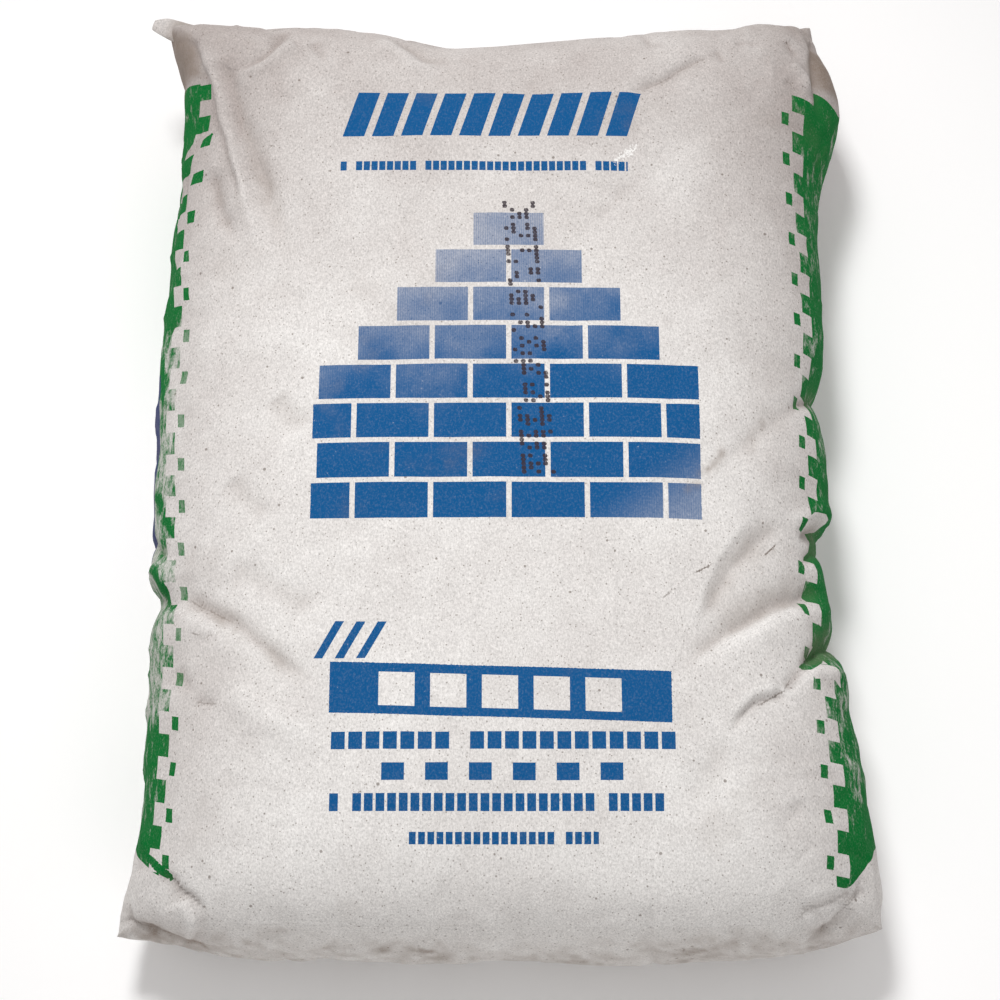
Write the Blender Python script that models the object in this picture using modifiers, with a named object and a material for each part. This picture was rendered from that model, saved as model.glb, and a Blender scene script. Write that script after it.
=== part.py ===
"""Filled paper cement sack lying flat on its back on a level floor.

The long way of the sack runs along Y with its head at +Y and its foot at -Y, its width runs along X,
and it rests on z = 0. The origin is the middle of the footprint. All sizes are in metres.
"""

import bmesh
import bpy
import numpy as np
from mathutils import Matrix, Vector

# Overall form of the filled sack
LEFT_HALF_WIDTH = 0.2285
RIGHT_HALF_WIDTH = 0.2225
HALF_LENGTH = 0.3285
SEAM_HEIGHT = 0.058
CROWN_RISE = 0.083
FLANK_FULLNESS = 4.4
END_FULLNESS = 11.0
CROWN_SHARE_X = 0.80
CROWN_SHARE_Y = 0.90
ROLL_UNDER = 0.050

# From the middle of the tube's own width and length to the middle of the footprint
FOOTPRINT_SHIFT = Vector((0.0028, -0.0059, 0.0))

# Grid of the sack: cuts along each way of the starting block
CUTS_ACROSS = 25
CUTS_ALONG = 37
CUTS_UP = 7

# Side outlines: place along the sack, outward swell and half length of each swell or pinch
LEFT_SWELLS = (
    (0.016, 0.0049, 0.098),
    (0.294, -0.0076, 0.120),
    (0.316, 0.0150, 0.028),
    (-0.106, -0.0054, 0.012),
    (-0.322, 0.0155, 0.046),
)
RIGHT_SWELLS = (
    (0.258, 0.0187, 0.047),
    (0.041, -0.0071, 0.026),
    (-0.076, -0.0090, 0.050),
    (-0.326, 0.0212, 0.124),
)

# End outlines: place across the sack, outward swell and half width of each swell or dip
HEAD_SWELLS = (
    (-0.240, 0.0080, 0.026),
    (-0.168, -0.0055, 0.042),
    (-0.034, -0.0042, 0.024),
    (0.006, -0.0142, 0.094),
    (0.242, 0.0156, 0.054),
)
FOOT_SWELLS = (
    (0.081, 0.0020, 0.025),
    (-0.384, -0.0784, 0.122),
    (0.267, -0.0285, 0.065),
)

# Dents and folds of the crown: two ends in plan, depth, half width
CROWN_FOLDS = (
    ((-0.215, -0.103), (-0.120, -0.168), 0.0060, 0.011),
    ((0.215, 0.047), (0.190, 0.016), 0.0060, 0.011),
    ((0.215, -0.049), (0.193, -0.070), 0.0070, 0.011),
    ((0.178, -0.064), (0.128, -0.128), 0.0050, 0.014),
    ((0.212, -0.095), (0.106, -0.168), 0.0080, 0.012),
    ((0.215, -0.134), (0.150, -0.190), 0.0060, 0.011),
    ((-0.076, 0.304), (-0.030, 0.273), 0.0035, 0.013),
    ((0.095, 0.248), (0.150, 0.281), 0.0035, 0.012),
    ((-0.190, 0.265), (-0.150, 0.145), 0.0040, 0.012),
    ((-0.150, 0.300), (-0.178, 0.262), 0.0030, 0.010),
    ((-0.203, -0.286), (-0.178, -0.309), 0.0040, 0.009),
    ((0.221, -0.292), (0.199, -0.322), 0.0040, 0.009),
)

# Corner ears: how far the seam rises above its normal height at each corner, and how far that reaches
EAR_LIFTS = (
    (-1, 1, 0.024, 0.085),
    (1, 1, 0.004, 0.070),
    (-1, -1, -0.012, 0.075),
    (1, -1, -0.010, 0.075),
)

# Cover strips pasted over the folded ends
COVER_SHARE_ACROSS = 0.76
COVER_SHARE_UP = 0.62
SHEET_GAP = 0.0003
SHEET_THICKNESS = 0.0008

# Valve sleeve, a flattened paper tube let into the head ear on the left
SLEEVE_TIP = Vector((-0.2470, 0.3310, 0.0860))
SLEEVE_WAY = Vector((-0.96, 0.27, 0.06)).normalized()
SLEEVE_LENGTH = 0.044
SLEEVE_WIDTH = 0.017
SLEEVE_HEIGHT = 0.0054
SLEEVE_WALL = 0.0010
SLEEVE_SIDES = 28


def swells(place, features):
    """Sum of the smooth swells and pinches of an outline at the given places."""
    total = np.zeros_like(place)
    for centre, height, reach in features:
        total += height * np.exp(-(((place - centre) / reach) ** 2))
    return total


def distance_to_line(x, y, start, end):
    """Distance in plan from each point to a straight fold."""
    sx, sy = start
    dx, dy = end[0] - sx, end[1] - sy
    share = np.clip(((x - sx) * dx + (y - sy) * dy) / (dx * dx + dy * dy), 0.0, 1.0)
    return np.hypot(x - sx - share * dx, y - sy - share * dy)


def plan(s, t):
    """Plan position of the points with the shares s across and t along the outline."""
    along = t * HALF_LENGTH
    left = LEFT_HALF_WIDTH + swells(along, LEFT_SWELLS)
    right = RIGHT_HALF_WIDTH + swells(along, RIGHT_SWELLS)
    x = s * np.where(s < 0, left, right)
    across = s * LEFT_HALF_WIDTH
    head = HALF_LENGTH + swells(across, HEAD_SWELLS)
    foot = HALF_LENGTH + swells(across, FOOT_SWELLS)
    y = t * np.where(t > 0, head, foot)
    return x, y


def seam_height(s, t):
    """Height of the widest line of the sack, raised or lowered towards each ear."""
    height = np.full_like(s, SEAM_HEIGHT)
    for side, end, lift, reach in EAR_LIFTS:
        away = np.hypot((1 - side * s) * LEFT_HALF_WIDTH, (1 - end * t) * HALF_LENGTH)
        height += lift * np.exp(-((away / reach) ** 2))
    return height


def crown(s, t, x, y):
    """Height of the upper side over the seam, with its dents and folds."""
    across = np.sqrt(np.clip(1 - np.abs(s) ** FLANK_FULLNESS, 0.0, 1.0))
    along = np.sqrt(np.clip(1 - np.abs(t) ** END_FULLNESS, 0.0, 1.0))
    rise = CROWN_RISE * across * along
    for start, end, depth, reach in CROWN_FOLDS:
        fold = depth * np.exp(-((distance_to_line(x, y, start, end) / reach) ** 2))
        rise -= fold * np.clip(rise / 0.03, 0.0, 1.0)
    return rise


def sack_points(block):
    """Moves points of the block from -1 to 1 on each axis onto the surface of the sack."""
    a, b, c = block.T
    up = np.clip(c, 0.0, 1.0)
    down = np.clip(-c, 0.0, 1.0) * np.pi / 2
    s = a * (1 - (1 - CROWN_SHARE_X) * up**2)
    t = b * (1 - (1 - CROWN_SHARE_Y) * up**2)
    inward = ROLL_UNDER * (1 - np.cos(down))
    s = s * (1 - inward / LEFT_HALF_WIDTH)
    t = t * (1 - inward / HALF_LENGTH)
    x, y = plan(s, t)
    seam = seam_height(s, t)
    z = np.where(c > 0, seam + crown(s, t, x, y), seam * (1 - np.sin(down)))
    z[c < -0.999] = 0.0
    return np.stack([x, y, z], axis=1)


def eased(block):
    """Crowds the grid lines of the block towards its edges, where the sack curves most."""
    plan_shares = block[:, :2]
    block = block.copy()
    block[:, :2] = 0.45 * plan_shares + 0.55 * np.sin(plan_shares * np.pi / 2)
    return block


def material(name, colour, roughness):
    """Plain surface of one colour."""
    made = bpy.data.materials.new(name)
    made.use_nodes = True
    shader = made.node_tree.nodes["Principled BSDF"]
    shader.inputs["Base Color"].default_value = (*colour, 1.0)
    shader.inputs["Roughness"].default_value = roughness
    return made


def finish(form, name, surface, collection):
    """Sets a working form over the middle of the footprint and makes it a named object."""
    bmesh.ops.translate(form, verts=form.verts[:], vec=FOOTPRINT_SHIFT)
    mesh = bpy.data.meshes.new(name)
    form.to_mesh(mesh)
    form.free()
    mesh.materials.append(surface)
    made = bpy.data.objects.new(name, mesh)
    collection.objects.link(made)
    return made


def sack_form():
    """Block with grid lines on its six sides, bent into the closed sack."""
    form = bmesh.new()
    bmesh.ops.create_cube(form, size=2.0)
    for axis, cuts in enumerate((CUTS_ACROSS, CUTS_ALONG, CUTS_UP)):
        edges = [
            edge for edge in form.edges
            if abs((edge.verts[0].co - edge.verts[1].co).normalized()[axis]) > 0.9
        ]
        bmesh.ops.subdivide_edges(form, edges=edges, cuts=cuts, use_grid_fill=True)
    shares = form.verts.layers.float_vector.new("block")
    for vertex in form.verts:
        vertex[shares] = vertex.co
    block = np.array([vertex.co for vertex in form.verts])
    underside = [
        face for face in form.faces if all(vertex.co.z < -0.999 for vertex in face.verts)
    ]
    inner = {
        vertex for face in underside for vertex in face.verts
        if max(abs(vertex.co.x), abs(vertex.co.y)) < 0.999
    }
    for vertex, place in zip(form.verts, sack_points(eased(block))):
        vertex.co = place
    bmesh.ops.dissolve_verts(form, verts=list(inner))
    bmesh.ops.triangulate(form, faces=form.faces[:], quad_method="FIXED")
    bmesh.ops.recalc_face_normals(form, faces=form.faces[:])
    form.normal_update()
    return form


def cover_form(sack, end):
    """Part of the sack's end wall, lifted off it by the gap; the sheet is thickened afterwards."""
    form = sack.copy()
    shares = form.verts.layers.float_vector["block"]
    outside = [
        face for face in form.faces
        if not all(
            vertex[shares].y * end > 0.999
            and abs(vertex[shares].x) < COVER_SHARE_ACROSS
            and abs(vertex[shares].z) < COVER_SHARE_UP
            for vertex in face.verts
        )
    ]
    for vertex in form.verts:
        vertex.co = vertex.co + SHEET_GAP * vertex.normal
    bmesh.ops.delete(form, geom=outside, context="FACES")
    return form


def sleeve_form(margin, bore):
    """Flattened paper tube along the sleeve's way, larger by the margin all round, hollow or solid."""
    form = bmesh.new()
    side = SLEEVE_WAY.cross(Vector((0, 0, 1))).normalized()
    up = side.cross(SLEEVE_WAY).normalized()
    turn = Matrix((side, up, SLEEVE_WAY)).transposed().to_4x4()
    stand = Matrix.Translation(SLEEVE_TIP) @ turn
    bmesh.ops.create_cone(
        form, cap_ends=not bore, segments=SLEEVE_SIDES, radius1=1.0, radius2=1.0, depth=1.0,
        matrix=stand
        @ Matrix.Diagonal((
            SLEEVE_WIDTH / 2 + margin, SLEEVE_HEIGHT / 2 + margin, SLEEVE_LENGTH + 2 * margin, 1,
        ))
        @ Matrix.Translation((0, 0, -0.5))
        @ Matrix.Translation((0, 0, margin / (SLEEVE_LENGTH + 2 * margin))),
    )
    bmesh.ops.recalc_face_normals(form, faces=form.faces[:])
    return form


def main():
    """Builds the four pieces."""
    for old in list(bpy.data.objects):
        bpy.data.objects.remove(old)
    pieces = bpy.data.collections.new("cement_sack")
    cutters = bpy.data.collections.new("cutters")
    bpy.context.scene.collection.children.link(pieces)
    bpy.context.scene.collection.children.link(cutters)
    cutters.hide_render = True

    paper = material("paper", (0.64, 0.62, 0.60), 0.85)
    cover_paper = material("cover_paper", (0.52, 0.48, 0.44), 0.88)
    valve_paper = material("valve_paper", (0.60, 0.57, 0.54), 0.85)

    form = sack_form()
    for name, end in (("foot_cover_sheet", -1), ("head_cover_sheet", 1)):
        sheet = finish(cover_form(form, end), name, cover_paper, pieces)
        thick = sheet.modifiers.new("thickness", "SOLIDIFY")
        thick.thickness = SHEET_THICKNESS
        thick.offset = 1.0
    sack = finish(form, "paper_sack", paper, pieces)

    sleeve = finish(sleeve_form(0.0, True), "valve_sleeve", valve_paper, pieces)
    wall = sleeve.modifiers.new("wall", "SOLIDIFY")
    wall.thickness = SLEEVE_WALL
    wall.offset = -1.0
    pocket = finish(sleeve_form(SHEET_GAP, False), "sleeve_pocket", valve_paper, cutters)
    cut = sack.modifiers.new("sleeve_pocket", "BOOLEAN")
    cut.operation = "DIFFERENCE"
    cut.solver = "EXACT"
    cut.object = pocket


main()
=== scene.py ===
"""Looks of a filled 50 kg paper cement sack that lies on its back with its printed face up.

The sack is one closed skin. A block with grid lines on its sides is bent into the filled form, and
folds, dents and crinkles then move the skin along its normals. Print, dirt and painted shade and
light follow the paper's own coordinates, which run over the skin in metres from the middle of the
printed face: across to the right and along to the head. All sizes are in metres, but folds, marks
and outlines are in millimetres, of which a metre has MM.
"""

import logging
import math
from collections.abc import Callable
from dataclasses import dataclass, field
from enum import Enum

import bpy
import numpy as np
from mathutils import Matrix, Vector


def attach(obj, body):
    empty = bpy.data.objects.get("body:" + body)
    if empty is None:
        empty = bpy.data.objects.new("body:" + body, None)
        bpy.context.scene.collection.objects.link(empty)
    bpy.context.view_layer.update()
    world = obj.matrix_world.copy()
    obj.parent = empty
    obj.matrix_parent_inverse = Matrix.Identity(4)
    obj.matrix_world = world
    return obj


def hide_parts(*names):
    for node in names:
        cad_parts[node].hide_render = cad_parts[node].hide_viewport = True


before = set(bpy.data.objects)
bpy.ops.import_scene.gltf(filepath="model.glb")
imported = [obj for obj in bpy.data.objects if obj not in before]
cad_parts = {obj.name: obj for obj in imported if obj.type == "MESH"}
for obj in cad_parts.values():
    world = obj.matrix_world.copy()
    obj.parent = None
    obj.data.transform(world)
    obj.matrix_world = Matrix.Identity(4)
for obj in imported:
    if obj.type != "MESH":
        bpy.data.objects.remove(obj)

LOG = logging.getLogger("cement_sack")
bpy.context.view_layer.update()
MM = 1000
TINY = 1e-12

Colour = tuple[float, float, float]
Place = tuple[float, float, float]
Span = tuple[float, float]
Line = tuple[tuple[float, float], ...]
Number = "Term | float"


class End(Enum):
    """The two folded ends of the sack."""

    FOOT = -1
    HEAD = 1


class Side(Enum):
    """The two long sides of the sack."""

    LEFT = -1
    RIGHT = 1


class Ink(Enum):
    """Printing inks as linear colours."""

    GREEN = (0.0015, 0.145, 0.027)
    BLUE = (0.005, 0.086, 0.250)
    SIDE_BLUE = (0.040, 0.046, 0.155)
    CODE = (0.040, 0.030, 0.038)


def smooth_step(low: float, high: float, value: np.ndarray) -> np.ndarray:
    """Eases from 0 at low to 1 at high as 3 t^2 - 2 t^3; low may be the higher one."""
    share = np.clip((value - low) / (high - low), 0.0, 1.0)
    return share * share * (3 - 2 * share)


@dataclass(frozen=True)
class Cloud:
    """Smooth random field in space, the same on each run."""

    seed: int
    cells: int = 48

    def values(self, points: np.ndarray, pitch: float) -> np.ndarray:
        """Reads the field: random corner values of a cubic lattice, eased across each cell.

        Args:
            points: Places in metres, three in the last axis.
            pitch: Length of a lattice cell in metres.

        Returns:
            One value from -1 to 1 for each place.
        """
        lattice = np.random.default_rng(self.seed).uniform(-1.0, 1.0, (self.cells,) * 3)
        place = points / pitch + self.cells / 2
        cell = np.floor(place).astype(int)
        share = place - cell
        share = share * share * (3 - 2 * share)
        total = np.zeros(points.shape[:-1])
        for corner in np.ndindex(2, 2, 2):
            near = (cell + np.array(corner)) % self.cells
            weight = np.prod(np.where(np.array(corner, bool), share, 1 - share), axis=-1)
            total += weight * lattice[near[..., 0], near[..., 1], near[..., 2]]
        return total


@dataclass(frozen=True)
class Haze:
    """Layers of random fields, each of half the pitch and a kept share of the height of the last."""

    seed: int
    pitch: float
    count: int
    keep: float
    seed_step: int = 7

    def at(self, points: np.ndarray) -> np.ndarray:
        """Adds up the layers, and scales them so that the squares of their heights add up to one.

        Args:
            points: Places in metres, three in the last axis.

        Returns:
            One value for each place, about -1 to 1.
        """
        total = np.zeros(points.shape[:-1])
        for layer in range(self.count):
            cloud = Cloud(self.seed + self.seed_step * layer)
            total += self.keep**layer * cloud.values(points, self.pitch / 2**layer)
        return total / math.sqrt(sum(self.keep ** (2 * layer) for layer in range(self.count)))


@dataclass(frozen=True)
class Rise:
    """Amount that grows from nought at low to full at high; low may be the higher one."""

    amount: float
    low: float
    high: float

    def at(self, value: np.ndarray) -> np.ndarray:
        """Reads the amount at each value."""
        return self.amount * smooth_step(self.low, self.high, value)


@dataclass(frozen=True)
class Gain:
    """Factor made uneven by a haze: level + swing * haze, kept between low and high."""

    level: float
    swing: float
    low: float = -math.inf
    high: float = math.inf

    def at(self, haze: np.ndarray) -> np.ndarray:
        """Reads the factor at each value of the haze."""
        return np.clip(self.level + self.swing * haze, self.low, self.high)


@dataclass(frozen=True)
class Swell:
    """Smooth outward swell of an outline, or a pinch where the height is below nought."""

    place: float
    height: float
    reach: float


def swell_sum(place: np.ndarray, swells: tuple[Swell, ...]) -> np.ndarray:
    """Adds up the swells, each height times exp(-((place - its place) / reach)^2).

    Args:
        place: Places along the outline.
        swells: Swells and pinches of the outline.

    Returns:
        Distance outwards at each place.
    """
    total = np.zeros_like(place)
    for swell in swells:
        total += swell.height * np.exp(-(((place - swell.place) / swell.reach) ** 2))
    return total


@dataclass(frozen=True)
class SackForm:
    """Filled sack without its folds, worked from a block that runs from -1 to 1 on each axis."""

    left: float = 0.2285
    right: float = 0.2225
    half_length: float = 0.3285
    seam: float = 0.058
    rise: float = 0.083
    flank_fullness: float = 4.4
    end_fullness: float = 11.0
    crown_share_across: float = 0.80
    crown_share_along: float = 0.90
    roll_under: float = 0.050
    middle: Place = (0.0028, -0.0059, 0.0)
    left_swells: tuple[Swell, ...] = (
        Swell(0.016, 0.0049, 0.098), Swell(0.294, -0.0076, 0.120), Swell(0.316, 0.0150, 0.028),
        Swell(-0.106, -0.0054, 0.012), Swell(-0.322, 0.0155, 0.046),
    )
    right_swells: tuple[Swell, ...] = (
        Swell(0.258, 0.0187, 0.047), Swell(0.041, -0.0071, 0.026), Swell(-0.076, -0.0090, 0.050),
        Swell(-0.326, 0.0212, 0.124),
    )
    head_swells: tuple[Swell, ...] = (
        Swell(-0.240, 0.0080, 0.026), Swell(-0.168, -0.0055, 0.042), Swell(-0.034, -0.0042, 0.024),
        Swell(0.006, -0.0142, 0.094), Swell(0.242, 0.0156, 0.054),
    )
    foot_swells: tuple[Swell, ...] = (
        Swell(0.081, 0.0020, 0.025), Swell(-0.384, -0.0784, 0.122), Swell(0.267, -0.0285, 0.065),
    )
    ear_lifts: tuple[tuple[Side, End, float, float], ...] = (
        (Side.LEFT, End.HEAD, 0.024, 0.085), (Side.RIGHT, End.HEAD, 0.004, 0.070),
        (Side.LEFT, End.FOOT, -0.012, 0.075), (Side.RIGHT, End.FOOT, -0.010, 0.075),
    )

    def points(self, block: np.ndarray) -> np.ndarray:
        """Bends places of the block onto the sack.

        In plan the block is drawn out to the side and end outlines; its upper face is drawn in to
        the crown shares and its lower face rolls under by a quarter circle. Over the seam the
        height is rise * sqrt(1 - |s|^flank) * sqrt(1 - |t|^end), where s and t are the shares of
        the half width and half length; under it the height falls as 1 - sin.

        Args:
            block: Places of the block, three in the last axis.

        Returns:
            Places on the sack in metres.
        """
        a, b, c = block[..., 0], block[..., 1], block[..., 2]
        up = np.clip(c, 0.0, 1.0)
        down = np.clip(-c, 0.0, 1.0) * math.pi / 2
        inward = self.roll_under * (1 - np.cos(down))
        s = a * (1 - (1 - self.crown_share_across) * up**2) * (1 - inward / self.left)
        t = b * (1 - (1 - self.crown_share_along) * up**2) * (1 - inward / self.half_length)
        along = t * self.half_length
        across = s * self.left
        left = self.left + swell_sum(along, self.left_swells)
        right = self.right + swell_sum(along, self.right_swells)
        head = self.half_length + swell_sum(across, self.head_swells)
        foot = self.half_length + swell_sum(across, self.foot_swells)
        x = s * np.where(s < 0, left, right)
        y = t * np.where(t > 0, head, foot)
        seam = np.full_like(s, self.seam)
        for side, end, lift, reach in self.ear_lifts:
            away = np.hypot((1 - side.value * s) * self.left, (1 - end.value * t) * self.half_length)
            seam += lift * np.exp(-((away / reach) ** 2))
        over = self.rise * np.sqrt(np.clip(1 - np.abs(s) ** self.flank_fullness, 0.0, 1.0))
        over *= np.sqrt(np.clip(1 - np.abs(t) ** self.end_fullness, 0.0, 1.0))
        z = np.where(c > 0, seam + over, seam * (1 - np.sin(down)))
        return np.stack([x, y, z], axis=-1) + np.array(self.middle)


@dataclass(frozen=True)
class Route:
    """Bent line of straight stretches in a plane, given in millimetres."""

    line: Line

    def measure(self, x: np.ndarray, y: np.ndarray) -> tuple[np.ndarray, np.ndarray, np.ndarray]:
        """Measures places in metres against the nearest stretch of the line.

        Args:
            x: Places across.
            y: Places along.

        Returns:
            Distance from the line, hand of the line (1 on the left of its way, else -1), and share
            of the line's length that is passed.
        """
        line = np.array(self.line) / MM
        ways = np.diff(line, axis=0)
        lengths = np.hypot(ways[:, 0], ways[:, 1])
        before = np.concatenate([[0.0], np.cumsum(lengths)])
        nearest = np.full(x.shape, np.inf)
        hand = np.ones(x.shape)
        travel = np.zeros(x.shape)
        for start, way, length, passed in zip(line, ways, lengths, before):
            ux, uy = way / length
            along = np.clip((x - start[0]) * ux + (y - start[1]) * uy, 0.0, length)
            dx = x - start[0] - along * ux
            dy = y - start[1] - along * uy
            distance = np.hypot(dx, dy)
            nearer = distance < nearest
            nearest = np.where(nearer, distance, nearest)
            hand = np.where(nearer, np.where(ux * dy > uy * dx, 1.0, -1.0), hand)
            travel = np.where(nearer, passed + along, travel)
        return nearest, hand, travel / before[-1]


@dataclass(frozen=True)
class Crease:
    """Fold line in the paper, seen in plan from the middle of the sack, in millimetres.

    It is a valley where its depth is above nought and a ridge where it is below. The reaches are the
    widths of its slopes on the left and right hand of its way, and fade is the share of its length
    over which it dies out at its start and at its end.
    """

    name: str
    depth: float
    reach: Span
    sharpness: float
    fade: Span
    line: Line

    def press(self, x: np.ndarray, y: np.ndarray) -> np.ndarray:
        """Works out how deep the fold is pressed in.

        At the distance d from the line the depth is depth * exp(-(d / reach)^sharpness), eased to
        nought over the fades.

        Args:
            x: Places across the sack.
            y: Places along the sack.

        Returns:
            Depth at each place in metres.
        """
        distance, hand, share = Route(self.line).measure(x, y)
        reach = np.where(hand > 0, *self.reach) / MM
        strength = np.ones(x.shape)
        for fade, passed in zip(self.fade, (share, 1 - share)):
            if fade > 0:
                strength = strength * smooth_step(0.0, fade, passed)
        return self.depth / MM * strength * np.exp(-((distance / reach) ** self.sharpness))


@dataclass(frozen=True)
class CrinkleSet:
    """Many short wrinkles at random places of the skin.

    The ranges are in metres. Face weight is how thickly they lie on the face against the edges, and
    the gains are how high they stand on the face and by how much more on the edges. Two in three
    are pressed in and one stands out.
    """

    count: int
    length: Span
    height: Span
    reach: Span
    face_weight: float
    gains: Span
    seed: int
    sharpness: float = 1.3
    flatness: int = 4
    ways: Place = (-1.0, -1.0, 1.0)

    def lift(
        self, points: np.ndarray, normals: np.ndarray, edge: np.ndarray, at: np.ndarray,
        at_edge: np.ndarray,
    ) -> np.ndarray:
        """Works out how far the wrinkles lift the skin.

        A wrinkle is a slab through the skin at a random turn. With p across it, q along it and r
        out of the skin from its middle, it lifts by height * exp(-(|p| / reach)^sharpness) *
        exp(-(q / half length)^flatness) * exp(-(r / half length)^flatness).

        Args:
            points: Places of the skin that the wrinkles are scattered over.
            normals: Normals of the skin there.
            edge: Share of edge at those places, from 0 on the face to 1 on the sides.
            at: Places to be lifted.
            at_edge: Share of edge at the places to be lifted.

        Returns:
            Lift of each place in metres.
        """
        chance = np.random.default_rng(self.seed)
        weight = self.face_weight + edge
        chosen = chance.choice(len(points), size=self.count, p=weight / weight.sum())
        total = np.zeros(len(at))
        for index in chosen:
            middle = points[index]
            out = normals[index]
            across = np.cross(out, chance.normal(size=3))
            across /= np.linalg.norm(across)
            along = np.cross(out, across)
            half = chance.uniform(*self.length) / 2
            reach = chance.uniform(*self.reach)
            height = chance.uniform(*self.height) * chance.choice(self.ways)
            away = at - middle
            near = np.nonzero((np.abs(away) < 2 * half).all(axis=1))[0]
            away = away[near]
            lift = np.exp(-((np.abs(away @ across) / reach) ** self.sharpness))
            for axis in (along, out):
                lift *= np.exp(-((away @ axis / half) ** self.flatness))
            total[near] += height * lift * (self.gains[0] + self.gains[1] * at_edge[near])
        return total


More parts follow.
